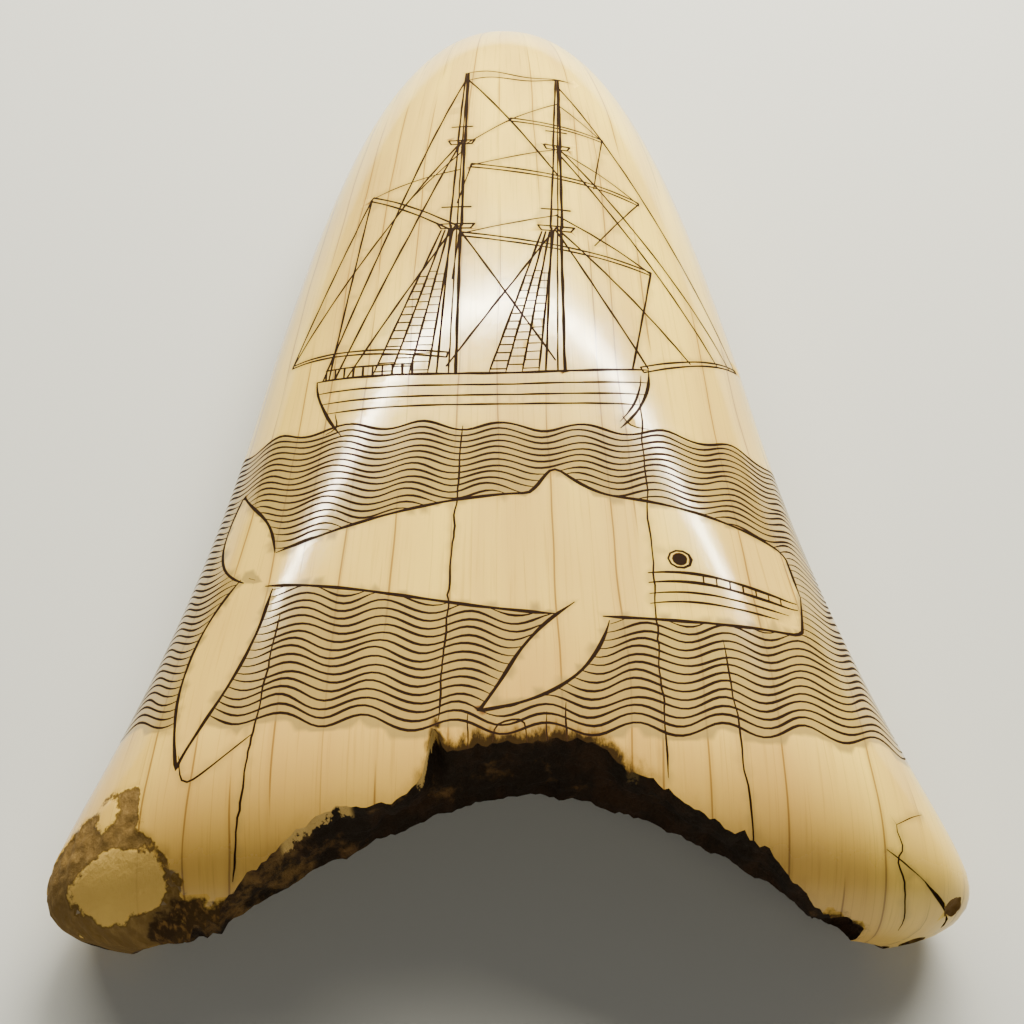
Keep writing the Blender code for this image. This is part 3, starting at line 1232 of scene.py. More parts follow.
@dataclass(frozen=True)
class Decay:
    """The decayed left heel: a ring of brown crust round a pale worn patch, and the black hem beside it."""

    crust: Patch = Patch((-44.5, -76.5), (11.5, 11.0), 1.4)
    finger: Patch = Patch((-41.0, -66.5), (2.8, 3.8), 1.3)
    worn: Patch = Patch((-40.0, -73.5), (6.0, 4.5), 0.9)
    island: Patch = Patch((-42.0, -65.0), (1.5, 2.0), 0.5)
    hem: Patch = Patch((-30.0, -81.5), (8.0, 5.5), 1.8)
    right_hem: Patch = Patch((33.5, -80.5), (4.0, 2.0), 1.0)
    pitch: float = 0.62
    reach: float = 1.2

    def crust_field(self, flat: Array) -> Array:
        """How far inside the crust each place is, in mm, negative outside."""
        bare = np.maximum(self.worn.depth_inside(flat), self.island.depth_inside(flat))
        crusted = np.maximum(self.crust.depth_inside(flat), self.finger.depth_inside(flat))
        return np.minimum(crusted, -bare)

    def hem_field(self, flat: Array) -> Array:
        """How far inside the black hems each place is, in mm, negative outside."""
        return np.maximum(self.hem.depth_inside(flat), self.right_hem.depth_inside(flat))

    def near(self, flat: Array) -> Array:
        """Which places lie in or beside the decayed parts."""
        return np.maximum(self.crust_field(flat), self.hem_field(flat)) > -self.reach

    def fine_points(self, crown: CrownMap) -> Array:
        """A close lattice of points over the decayed parts.

        Args:
            crown: the unrolled crown.

        Returns:
            Rows of s, t.
        """
        across, along = np.arange(-60.0, 60.0, self.pitch), np.arange(-86.0, -59.0, self.pitch * LATTICE_ROW)
        s, t = np.meshgrid(across, along)
        s = s + 0.5 * self.pitch * (np.arange(len(s))[:, None] % 2)
        flat = np.stack([s.ravel(), t.ravel()], axis=1)
        held = np.abs(flat[:, 0]) < crown.half_span(flat[:, 1]) - 0.6
        held &= flat[:, 1] > crown.t[0] + 0.4
        return flat[held & self.near(flat)]

    def relief(self, flat: Array) -> Array:
        """How far the surface has sunk at each place.

        Args:
            flat: rows of s, t.

        Returns:
            One depth a place, in mm.
        """
        crust = self.crust_field(flat)
        worn = self.worn.depth_inside(flat)
        sunk = np.zeros(len(flat))
        for i in np.flatnonzero((crust > -1.0) | (worn > -1.0)):
            s, t = flat[i]
            pits = noise.fractal(Vector((s * 0.9, t * 0.7, 5.0)), 0.8, 2.2, 3)
            in_crust = min(max(crust[i] / 0.7 + 0.3, 0.0), 1.0)
            in_worn = min(max(worn[i] / 0.8, 0.0), 1.0)
            sunk[i] = in_crust * (0.20 + 0.30 * pits) + in_worn * 0.12
        return np.clip(sunk, -0.05, 0.8)


# ---- Finishes


def linear(colour: str) -> tuple[float, float, float, float]:
    """The linear colour of an sRGB hex value such as "#e9d8ae"."""
    channels = [int(colour[i:i + 2], 16) / 255 for i in (1, 3, 5)]
    return (*(c / 12.92 if c <= 0.04045 else ((c + 0.055) / 1.055) ** 2.4 for c in channels), 1.0)


class Gloss(Enum):
    """How ivory answers light in one state: specular level, coat weight and roughness."""

    POLISHED = (0.40, 0.10, 0.10)
    INKED = (0.1, 0.0, 0.75)
    DECAYED = (0.2, 0.0, 0.8)


@dataclass(frozen=True)
class Layer:
    """A colour laid over those below it: where it comes in, where it is full, and how strong it is there."""

    hue: str
    low: float
    high: float
    strength: float


def lay(tree: NodeTree, base: str, layers: list[tuple[NodeSocket, Layer]]) -> NodeSocket:
    """Lays colours over each other, each by a value read from the surface.

    Args:
        tree: the material's tree.
        base: the colour under them all.
        layers: the value and the layer it drives, lowest first.

    Returns:
        The finished colour.
    """
    colour = linear(base)
    for value, layer in layers:
        inputs = {0: value, 1: layer.low, 2: layer.high, 4: layer.strength}
        share = add_node(tree, "MapRange", inputs, interpolation_type="SMOOTHSTEP")
        inputs = {0: share, 6: colour, 7: linear(layer.hue)}
        colour = add_node(tree, "Mix", inputs, out=2, data_type="RGBA")
    return colour


def new_material(name: str) -> tuple[Material, NodeTree, Node]:
    """Makes a material with nothing in it but its shader.

    Args:
        name: its name.

    Returns:
        The material, its tree and its shader.
    """
    material = bpy.data.materials.new(name)
    material.use_nodes = True
    return material, material.node_tree, material.node_tree.nodes["Principled BSDF"]


@dataclass(frozen=True)
class PolishedIvory:
    """Sperm whale ivory, scraped, pumiced and hand polished, with lamp-black rubbed into the cuts.

    It gives the eye warm cream with long soft bands, hair-fine brown growth lines and a wet, wax-like gloss.
    Inked cuts and decayed places keep the same colours at their borders and lose the gloss.
    """

    name: str = "whale_ivory"
    cream: str = "#fddb62"
    honey: Layer = Layer("#d8b45d", 0.38, 0.68, 0.75)
    cloudy: Layer = Layer("#cfab58", 0.38, 0.68, 0.5)
    # Honey colour laid towards the lower left and the break: partly real yellowing, partly painted shade.
    root_honey: Layer = Layer("#bd9149", 0.0, 1.0, 0.8)
    fibres: Layer = Layer("#967035", 0.50, 0.80, 0.38)
    growth_halo: Layer = Layer("#a57d3a", 0.20, 1.0, 0.30)
    growth_line: Layer = Layer("#6e4a22", 0.20, 0.8, 0.7)
    fine_line: Layer = Layer("#8f6a33", 0.45, 0.95, 0.25)
    haze: Layer = Layer("#8a7547", 0.05, 0.45, 0.78)
    stain_halo: Layer = Layer("#83612c", 0.0, 1.0, 0.6)
    edge_stain: Layer = Layer("#20150a", 0.0, 0.8, 0.96)
    worn: Layer = Layer("#cba75c", -0.2, 0.3, 0.8)
    crust: Layer = Layer("#6b532c", -0.15, 0.25, 1.0)
    crust_line: Layer = Layer("#38240f", 0.35, 1.0, 0.8)
    crust_pale: Layer = Layer("#8f7344", 0.42, 0.75, 0.7)
    hem: Layer = Layer("#2e1e0d", -0.3, 0.6, 0.97)
    hem_flecks: Layer = Layer("#7a5a2e", 0.48, 0.66, 0.85)
    bleed: Layer = Layer("#6d4522", 0.0, 0.14, 0.85)
    ink: Layer = Layer("#1e1107", 0.05, 0.26, 1.0)
    dull_from: float = -60.0
    dull_to: float = -78.0
    dulling: float = 0.28

    def grain(self, tree: NodeTree, per_mm: Point, detail: float, rough: float = 0.6) -> NodeSocket:
        """Noise that follows the grain.

        Args:
            tree: the material's tree.
            per_mm: cycles a millimetre across the grain, along it and between its layers.
            detail: octaves.
            rough: how strong the finer octaves are.

        Returns:
            The noise, around 0.5.
        """
        add = partial(add_node, tree)
        flow = add("Attribute", out="Vector", attribute_name="flow")
        place = add("VectorMath", {0: flow, 1: per_mm}, operation="MULTIPLY")
        inputs = {"Vector": place, "Scale": 1.0, "Detail": detail, "Roughness": rough}
        return add("TexNoise", inputs)

    def growth(self, tree: NodeTree, spacing: float, width: float, shift: float) -> NodeSocket:
        """Hair-fine lines along the grain at uneven distances, each fading in and out.

        Args:
            tree: the material's tree.
            spacing: mean distance between lines, in mm.
            width: how far from its middle a line reaches, in mm.
            shift: moves the lines across.

        Returns:
            1 in the middle of a line and 0 away from it.
        """
        add = partial(add_node, tree)
        flow = add("Attribute", out="Vector", attribute_name="flow")
        across = add("SeparateXYZ", {0: flow})
        wander = self.grain(tree, (0.10, 0.03, 0.0), 2.0, 0.5)
        place = add("Math", {0: wander, 1: 2.2, 2: across}, operation="MULTIPLY_ADD")
        place = add("Math", {0: place, 1: shift}, operation="ADD")
        near = add("TexVoronoi", {"W": place, "Scale": 1.0 / spacing}, out="Distance",
                   voronoi_dimensions="1D", feature="DISTANCE_TO_EDGE")
        line = add("MapRange", {0: near, 1: 0.0, 2: width / spacing, 3: 1.0, 4: 0.0})
        fading = self.grain(tree, (0.5, 0.03, 0.1), 1.0)
        fade = add("MapRange", {0: fading, 1: 0.36, 2: 0.52})
        return add("Math", {0: line, 1: fade}, operation="MULTIPLY")

    def aged(self, tree: NodeTree) -> NodeSocket:
        """How much root honey colour is laid: more towards the lower left and beside the break. Towards the
        lower left it is partly real yellowing and partly painted shade, darker where the light falls off on
        the left lobe and the root.

        Args:
            tree: the material's tree.

        Returns:
            0 where none is laid, and 1 or more towards the lower left beside the break.
        """
        add = partial(add_node, tree)
        flow = add("Attribute", out="Vector", attribute_name="flow")
        inputs = {0: flow, 1: (0.7, 0.7, 0.0)}
        along = add("VectorMath", inputs, out="Value", operation="DOT_PRODUCT")
        # Darker and yellower towards the lower left: partly real yellowing, partly painted shade as if lit
        # from the upper right.
        yellowing_and_shade_to_left = add("MapRange", {0: along, 1: 60.0, 2: -80.0, 4: 0.7})
        from_edge = add("Attribute", out="Fac", attribute_name="from_edge")
        to_break = add("MapRange", {0: from_edge, 1: 17.0, 2: 4.0, 4: 0.4})
        return add("Math", {0: yellowing_and_shade_to_left, 1: to_break}, operation="ADD")

    def ragged(self, tree: NodeTree, name: str) -> NodeSocket:
        """A stored distance with a border made ragged by fine noise.

        Args:
            tree: the material's tree.
            name: the distance's name.

        Returns:
            The distance.
        """
        add = partial(add_node, tree)
        distance = add("Attribute", out="Fac", attribute_name=name)
        rough = self.grain(tree, (1.6, 1.3, 0.1), 4.0, 0.65)
        spread = add("Math", {0: rough, 1: 1.6, 2: -0.8}, operation="MULTIPLY_ADD")
        return add("Math", {0: distance, 1: spread}, operation="ADD")

    def border(self, tree: NodeTree, name: str, width: float = 0.55) -> NodeSocket:
        """1 on the ragged border of a stored distance and 0 at a width from it."""
        off = add_node(tree, "Math", {0: self.ragged(tree, name)}, operation="ABSOLUTE")
        return add_node(tree, "MapRange", {0: off, 1: 0.0, 2: width, 3: 1.0, 4: 0.0})

    def stain(self, tree: NodeTree, reach_on: float) -> NodeSocket:
        """Old marrow stain creeping up the grain from the broken edge, strong above the middle of the arch.

        Args:
            tree: the material's tree.
            reach_on: how much further than its dark part the stain is followed, in mm.

        Returns:
            How stained each place is, from 0 to 1.
        """
        add = partial(add_node, tree)
        from_edge = add("Attribute", out="Fac", attribute_name="from_edge")
        creep = self.grain(tree, (0.9, 0.35, 0.1), 5.0, 0.7)
        reach = add("Math", {0: creep, 1: 4.5, 2: reach_on - 1.2}, operation="MULTIPLY_ADD")
        deep = add("Math", {0: reach, 1: from_edge}, operation="SUBTRACT")
        deep = add("MapRange", {0: deep, 1: -0.8, 2: 0.9})
        where = add("Attribute", out="Fac", attribute_name="stained")
        where = add("Math", {0: where, 1: 0.85, 2: 0.15}, operation="MULTIPLY_ADD")
        return add("Math", {0: deep, 1: where}, operation="MULTIPLY")

    def material(self, gloss: Gloss) -> Material:
        """Builds the material for one state of the surface.

        Args:
            gloss: the state.

        Returns:
            The material.
        """
        material, tree, shader = new_material(f"{self.name}_{gloss.name.lower()}")
        add = partial(add_node, tree)
        crust = self.ragged(tree, "crust")
        crumbs = self.grain(tree, (1.1, 0.5, 0.1), 5.0, 0.6)
        in_crust = add("MapRange", {0: crust, 1: 0.0, 2: 0.2})
        hem = self.ragged(tree, "hem")
        in_hem = add("MapRange", {0: hem, 1: 0.0, 2: 0.6})
        hem_flecks = add("Math", {0: crumbs, 1: in_hem}, operation="MULTIPLY")
        crumbs = add("Math", {0: crumbs, 1: in_crust}, operation="MULTIPLY")
        ink = add("Attribute", out="Fac", attribute_name="ink")
        haze = add("Attribute", out="Fac", attribute_name="haze")
        colour = lay(tree, self.cream, [
            (self.grain(tree, (0.11, 0.012, 0.1), 3.0), self.honey),
            (self.grain(tree, (0.05, 0.03, 0.1), 2.0), self.cloudy),
            # The next layer is partly painted shade: honey laid darker towards the lower left and the break.
            (self.aged(tree), self.root_honey),
            (self.grain(tree, (2.6, 0.06, 0.1), 3.0, 0.65), self.fibres),
            (self.growth(tree, 5.0, 0.9, 4.0), self.growth_halo),
            (self.growth(tree, 5.0, 0.18, 4.0), self.growth_line),
            (self.growth(tree, 2.4, 0.15, 31.0), self.fine_line),
            (haze, self.haze),
            (self.stain(tree, 1.0), self.stain_halo),
            (self.stain(tree, 0.0), self.edge_stain),
            (self.ragged(tree, "worn"), self.worn),
            (crust, self.crust),
            (crumbs, self.crust_pale),
            (self.border(tree, "crust"), self.crust_line),
            (hem, self.hem),
            (hem_flecks, self.hem_flecks),
            (ink, self.bleed),
            (ink, self.ink),
        ])
        specular, coat, roughness = gloss.value
        handling = self.grain(tree, (0.4, 0.3, 0.1), 4.0)
        inputs = {0: handling, 1: 0.3, 2: 0.7, 3: roughness - 0.02, 4: roughness + 0.03}
        handling = add("MapRange", inputs)
        flow = add("Attribute", out="Vector", attribute_name="flow")
        to_root = add("SeparateXYZ", {"Vector": flow}, out="Y")
        inputs = {0: to_root, 1: self.dull_from, 2: self.dull_to, 4: self.dulling}
        dulled = add("MapRange", inputs)
        handling = add("Math", {0: handling, 1: dulled}, operation="ADD")
        if gloss is Gloss.DECAYED:
            relief, depth = self.grain(tree, (1.3, 0.8, 0.1), 4.0, 0.65), 0.4
        else:
            relief, depth = self.grain(tree, (3.0, 0.35, 0.1), 3.0, 0.7), 0.02
        bump = add("Bump", {"Height": relief, "Strength": 0.5, "Distance": depth * MM})
        connect(tree, shader, {
            "Base Color": colour, "Roughness": handling, "Normal": bump, "IOR": 1.54,
            "Specular IOR Level": specular, "Subsurface Weight": 0.03, "Subsurface Radius": (1.0, 0.7, 0.4),
            "Subsurface Scale": 1.2 * MM, "Coat Weight": coat, "Coat Roughness": 0.05})
        return material


@dataclass(frozen=True)
class TornDentine:
    """Dentine torn across its grain and soaked with old marrow: rough, tan where it flaked, and painted near
    black, darker than its own brown, as painted shade for the shadow on the broken face.
    """

    name: str = "torn_dentine"
    # The dark and brown colours are darker than the torn dentine's own brown: painted shade on the broken
    # face.
    dark: str = "#1e140a"
    brown: Layer = Layer("#2f1e10", 0.42, 0.66, 1.0)
    tan: Layer = Layer("#6b4e2c", 0.60, 0.74, 0.8)
    crumbs: Layer = Layer("#75582f", 0.38, 0.66, 0.8)
    flaked: Layer = Layer("#c2a05e", 0.25, 0.7, 1.0)

    def material(self) -> Material:
        """Builds the material.

        Returns:
            The material.
        """
        material, tree, shader = new_material(self.name)
        add = partial(add_node, tree)
        place = add("TexCoord", out="Object")
        clouds = []
        for per_mm in ((0.25, 0.25, 0.08), (0.16, 0.16, 0.1), (0.5, 0.5, 0.4), (1.6, 1.6, 0.5)):
            inputs = {0: place, 1: tuple(c / MM for c in per_mm)}
            scaled = add("VectorMath", inputs, operation="MULTIPLY")
            inputs = {"Vector": scaled, "Scale": 1.0, "Detail": 5.0, "Roughness": 0.65}
            clouds.append(add("TexNoise", inputs))
        below_top = add("Attribute", out="Fac", attribute_name="below_top")
        fresh = add("Attribute", out="Fac", attribute_name="fresh")
        crumble = add("Math", {0: clouds[2], 1: clouds[3]}, operation="ADD")
        uneven = add("Math", {0: crumble, 1: 6.0, 2: -4.3}, operation="MULTIPLY_ADD")
        shallow = add("Math", {0: uneven, 1: below_top}, operation="SUBTRACT")
        shallow = add("MapRange", {0: shallow, 1: -0.5, 2: 0.5})
        flaked = add("Math", {0: shallow, 1: fresh}, operation="MULTIPLY")
        arm = add("Attribute", out="Fac", attribute_name="crumbly")
        crumbs = add("Math", {0: clouds[2], 1: arm}, operation="MULTIPLY")
        # Near black base under the layers: painted shade on the broken face.
        colour = lay(tree, self.dark, [
            (clouds[0], self.brown), (clouds[1], self.tan), (crumbs, self.crumbs), (flaked, self.flaked)])
        bump = add("Bump", {"Height": clouds[3], "Strength": 0.8, "Distance": 0.5 * MM})
        connect(tree, shader, {
            "Base Color": colour, "Normal": bump, "Roughness": 0.85, "Specular IOR Level": 0.2})
        return material


@dataclass(frozen=True)
class PulpWall:
    """The lining of the pulp cavity, dried and soil-stained: smooth, dull brown with darker clouds."""

    name: str = "pulp_cavity_lining"
    dark: str = "#33210f"
    brown: Layer = Layer("#6b5030", 0.35, 0.68, 1.0)

    def material(self) -> Material:
        """Builds the material.

        Returns:
            The material.
        """
        material, tree, shader = new_material(self.name)
        add = partial(add_node, tree)
        place = add("TexCoord", out="Object")
        clouds = add("TexNoise", {"Vector": place, "Scale": 0.09 / MM, "Detail": 6.0})
        colour = lay(tree, self.dark, [(clouds, self.brown)])
        grit = add("TexNoise", {"Vector": place, "Scale": 1.4 / MM, "Detail": 4.0})
        bump = add("Bump", {"Height": grit, "Strength": 0.5, "Distance": 0.2 * MM})
        connect(tree, shader, {"Base Color": colour, "Normal": bump, "Roughness": 0.7})
        return material


# ---- Meshes


class Engraving:
    """Measures how deep and how dark the strokes are at any place of the flat sheet."""

    faintest: float = 0.02

    def __init__(self, strokes: list[Stroke]) -> None:
        """Sorts every short run of every stroke by place.

        Args:
            strokes: the strokes of the picture.
        """
        self.runs = []
        for stroke in strokes:
            places, half = stroke.points, stroke.half
            self.runs += [(*run, stroke.nib) for run in zip(places, places[1:], half, half[1:])]
        self.reach = max(float(np.linalg.norm(b - a)) / 2 + max(ha, hb) for a, b, ha, hb, _ in self.runs)
        self.tree = KDTree(len(self.runs))
        for i, (a, b, *_) in enumerate(self.runs):
            self.tree.insert(((a[0] + b[0]) / 2, (a[1] + b[1]) / 2, 0.0), i)
        self.tree.balance()

    def measure(self, flat: Array, margin: float = 0.0) -> tuple[Array, Array]:
        """Ink and depth at places of the sheet.

        Args:
            flat: rows of s, t.
            margin: how much wider than it is each stroke counts.

        Returns:
            The ink, 0 outside every stroke and up to 1 in the middle of a dark one, or with a margin the
            haze, and the depth.
        """
        ink = np.zeros(len(flat))
        depth = np.zeros(len(flat))
        for i, (s, t) in enumerate(flat):
            for _, index, _ in self.tree.find_range((s, t, 0.0), self.reach + margin):
                a, b, half_a, half_b, nib = self.runs[index]
                ds, dt = b[0] - a[0], b[1] - a[1]
                length = ds * ds + dt * dt or 1e-12
                u = min(max(((s - a[0]) * ds + (t - a[1]) * dt) / length, 0.0), 1.0)
                distance = math.hypot(s - a[0] - u * ds, t - a[1] - u * dt)
                half = half_a + (half_b - half_a) * u + margin
                inner = 1.0 - distance / half
                if inner > 1e-3:
                    ink[i] = max(ink[i], inner * (nib.haze if margin else nib.ink))
                    depth[i] = max(depth[i], inner * nib.depth)
        return ink, depth


@dataclass
class CrownSheet:
    """The engraved crown as triangles, whose edges follow both sides and the bed of each stroke."""

    crown: CrownMap
    strokes: list[Stroke]
    belt: Array
    decay: Decay
    spacing: float = 1.5

    def boundary(self) -> list[Pair]:
        """The belt on the flat sheet, up the right side and down the left.

        Returns:
            Its s and t, in order.
        """
        t = np.interp(self.belt, self.crown.y, self.crown.t)
        span = self.crown.half_span(t)
        right = [(span[i], t[i]) for i in range(len(t))]
        left = [(-span[i], t[i]) for i in range(len(t) - 2, 0, -1)]
        return right + left

    def free_points(self, engraving: Engraving) -> Array:
        """Points of an even lattice, left out where strokes or the boundary are near.

        Args:
            engraving: the strokes' depth and ink.

        Returns:
            Rows of s, t.
        """
        points = []
        rows = int((self.crown.t[-1] - self.crown.t[0]) / (self.spacing * LATTICE_ROW))
        for row in range(1, rows):
            t = self.crown.t[0] + row * self.spacing * LATTICE_ROW
            reach = float(self.crown.half_span(np.array([t]))[0]) - 0.7
            count = int(reach / self.spacing)
            for column in range(-count - 1, count + 2):
                s = (column + 0.5 * (row % 2)) * self.spacing
                if abs(s) < reach:
                    points.append((s, t))
        flat = np.array(points)
        flat = np.vstack([flat[~self.decay.near(flat)], self.decay.fine_points(self.crown)])
        ink, _ = engraving.measure(flat, margin=0.35)
        return flat[ink <= 0.0]

    def build(self, engraving: Engraving) -> tuple[Array, list, Array, Array]:
        """Lays out the mesh.

        Args:
            engraving: the strokes' depth and ink.

        Returns:
            Places in space, triangles, the same places on the flat sheet, and ink.
        """
        flat: list[Pair] = self.boundary()
        rim = len(flat)
        edges = [(i, (i + 1) % rim) for i in range(rim)]

        def chain(points: Array) -> None:
            """Adds an open path."""
            first = len(flat)
            flat.extend(map(tuple, points))
            edges.extend((i, i + 1) for i in range(first, len(flat) - 1))

        def ring(points: Array) -> None:
            """Adds a closed path."""
            first = len(flat)
            chain(points)
            edges.append((len(flat) - 1, first))

        for stroke in self.strokes:
            path = stroke.points
            along = np.gradient(path, axis=0)
            across = np.stack([-along[:, 1], along[:, 0]], axis=1)
            across /= np.maximum(np.linalg.norm(across, axis=1, keepdims=True), 1e-9)
            offset = across * stroke.half[:, None]
            left, right = path + offset, path - offset
            if np.allclose(path[0], path[-1]):
                for line in (left, right, path):
                    ring(line[:-1])
                continue
            start = path[0] - (path[1] - path[0]) / np.linalg.norm(path[1] - path[0]) * stroke.half[0]
            end = path[-1] + (path[-1] - path[-2]) / np.linalg.norm(path[-1] - path[-2]) * stroke.half[-1]
            ring(np.vstack([[start], left, [end], right[::-1]]))
            chain(path)
        flat.extend(map(tuple, self.free_points(engraving)))
        corners, hull = [Vector(place) for place in flat], [list(range(rim))]
        points, _, faces, origins, _, within = delaunay_2d_cdt(corners, edges, hull, 0, 1e-4, True)
        faces = [face for face, owners in zip(faces, within) if owners]
        sheet = np.array(points)
        ink, depth = engraving.measure(sheet)
        ink[ink < engraving.faintest] = 0.0
        depth[ink == 0.0] = 0.0
        depth += self.decay.relief(sheet)
        space = self.crown.place(sheet)
        space -= self.crown.form.normals(space) * depth[:, None]
        count = len(self.belt)
        for i, origin in enumerate(origins):
            station = min(origin) if origin else rim
            if station < rim:
                side = 1.0 if station < count else -1.0
                y = self.belt[station if station < count else 2 * count - 2 - station]
                half_width = float(self.crown.form.section(y).half_width)
                space[i] = (side * half_width, y, self.crown.form.belt_height)
        return space, [tuple(face) for face in faces], sheet, ink


@dataclass
class ToothPiece:
    """The whole tooth as one closed mesh: engraved crown, flat underside, pulp hollow and broken edge."""

    form: ToothForm
    edge: BrokenEdge
    crown: CrownMap
    engraving: Engraving
    decay: Decay
    belt_spacing: float = 1.5
    undercut_steps: int = 6
    underside_steps: int = 20
    hollow_divisions: tuple[int, int] = (44, 56)
    break_spacing: float = 0.5
    hollow_half_width: float = 34.0
    hollow_height: float = 12.5
    hollow_inner_end: float = 24.0
    hollow_taper: float = 96.0
    hollow_taper_power: float = 1.7
    hollow_squareness: float = 3.6
    hollow_below: float = 4.0
    mouth_flare: float = 8.0
    mouth_length: float = 15.0
    uncut_within: float = 4.0
    underside_stretch: float = 1.15
    underside_layer: float = 40.0
    haze_margin: float = 0.6
    haze_stop: float = 2.5
    haze_fade: float = 3.0
    grain_fans_above: float = -50.0
    grain_span: float = 45.0
    grain_gather: float = 0.6
    stain_ends: float = 36.0
    map_side: float = 236.0
    undercut_spread: float = 5.3
    sheet_at: Pair = (58.0, 87.0)
    underside_at: Pair = (174.0, 84.0)
    wall_at: Pair = (50.0, 180.0)
    chips_at: Pair = (150.0, 200.0)
    chips: tuple[tuple[str, Point, float], ...] = (
        ("right_lobe_chip", (47.0, -73.5, 12.0), 2.0), ("right_hem_chip", (33.5, -75.5, 11.0), 3.0),
        ("left_heel_chip", (-44.5, -75.5, 4.5), 2.5), ("right_end_nick", (43.0, -74.0, 5.5), 1.5),
        ("right_end_small_nick", (39.5, -75.0, 5.0), 1.3))

    def under_ring(self, y: float) -> Ring:
        """Points from the belt on the right, round the underside, to the belt on the left.

        Args:
            y: the place along Y.

        Returns:
            The points.
        """
        here = self.form.section(y)
        half_width, underside = float(here.half_width), float(here.underside)
        belt = self.form.belt_height
        rounding = min(self.form.foot_rounding, half_width)
        flat = half_width - rounding
        right = []
        for i in range(self.undercut_steps + 1):
            turn = math.pi / 2 * i / self.undercut_steps
            right.append((flat + rounding * math.cos(turn), belt - (belt - underside) * math.sin(turn)))
        ring = [(x, y, z) for x, z in right]
        steps = self.underside_steps
        ring += [(flat * (1.0 - 2.0 * i / steps), y, underside) for i in range(1, steps)]
        return ring + [(-x, y, z) for x, z in reversed(right)]

    def solid(self, sheet: CrownSheet, skin: Material) -> Object:
        """The unbroken tooth: the engraved crown closed by its underside.

        Args:
            sheet: the crown's mesh maker.
            skin: its material.

        Returns:
            An object with the attributes ink and flow on its points.
        """
        space, faces, flat, ink = sheet.build(self.engraving)
        points, flow = [tuple(place) for place in space], [tuple(place) for place in flat]
        rows = []
        for y in sheet.belt[1:-1]:
            ring = self.under_ring(float(y))
            rows.append(range(len(points), len(points) + len(ring)))
            points += ring
            flow += [(x, y) for x, _, _ in ring]
        root, tip = len(points), len(points) + 1
        for y in (sheet.belt[0], sheet.belt[-1]):
            points.append((0.0, float(y), self.form.belt_height))
            flow.append((0.0, float(y)))
        for row, following in zip(rows, rows[1:]):
            faces += [(row[i], row[i + 1], following[i + 1], following[i]) for i in range(len(row) - 1)]
        for i in range(len(rows[0]) - 1):
            faces.append((root, rows[0][i + 1], rows[0][i]))
            faces.append((tip, rows[-1][i], rows[-1][i + 1]))
        mesh = bpy.data.meshes.new("unbroken_tooth")
        mesh.from_pydata([(x * MM, y * MM, z * MM) for x, y, z in points], [], faces)
        store(mesh, "ink", "FLOAT", np.pad(ink, (0, len(points) - len(ink))))
        store(mesh, "flow", "FLOAT2", flow)
        bm = bmesh.new()
        bm.from_mesh(mesh)
        bmesh.ops.remove_doubles(bm, verts=bm.verts, dist=0.00001)
        bmesh.ops.triangulate(bm, faces=bm.faces)
        bmesh.ops.recalc_face_normals(bm, faces=bm.faces)
        open_edges = sum(1 for e in bm.edges if len(e.link_faces) != 2)
        bm.to_mesh(mesh)
        bm.free()
        mesh.materials.append(skin)
        LOG.info("unbroken tooth: %d triangles, %d open edges", len(mesh.polygons), open_edges)
        return new_object("unbroken_tooth", mesh)

    def loft(self, name: str, rings: list[Ring], skin: Material) -> Object:
        """A closed cutter through rings of points; a ring of one point is a pole, any other end is capped.

        Args:
            name: the cutter's name.
            rings: its rings of points.
            skin: the material of the faces it leaves.

        Returns:
            The cutter.
        """
        bm = bmesh.new()
        rows = [[bm.verts.new([c * MM for c in point]) for point in ring] for ring in rings]
        for row, following in zip(rows, rows[1:]):
            count = max(len(row), len(following))
            for i in range(count):
                corners = [row[i % len(row)], row[(i + 1) % len(row)]]
                corners += [following[(i + 1) % len(following)], following[i % len(following)]]
                bm.faces.new(list(dict.fromkeys(corners)))
        for row in (rows[0], rows[-1]):
            if len(row) > 1:
                bm.faces.new(row)
        bmesh.ops.recalc_face_normals(bm, faces=bm.faces)
        return new_cutter(name, bm, skin)

    def hollow_rings(self) -> list[Ring]:
        """Rings of the pulp hollow, from outside the root end to where it tapers out.

        Returns:
            The rings.
        """
        stations, steps = self.hollow_divisions
        rings = []
        start = -self.form.length / 2 - self.form.foot_rounding
        run = self.hollow_inner_end - start
        for i in range(stations):
            y = start + run * math.sin(math.pi / 2 * i / stations)
            opened = float(closure(self.hollow_inner_end - y, self.hollow_taper, self.hollow_taper_power))
            into_mouth = max((self.mouth_length - self.form.length / 2 - y) / self.mouth_length, 0.0)
            half_width = self.hollow_half_width * opened + self.mouth_flare * into_mouth ** 2
            ring = []
            for step in range(steps + 1):
                across = math.sin(math.pi * (step / steps - 0.5))
                rise = (1.0 - abs(across) ** self.hollow_squareness) ** (1.0 / self.hollow_squareness)
                height = (self.hollow_height + self.hollow_below) * opened * rise
                ring.append((half_width * across, y, height - self.hollow_below))
            rings.append(ring)
        rings.append([(0.0, self.hollow_inner_end, -self.hollow_below)])
        return rings

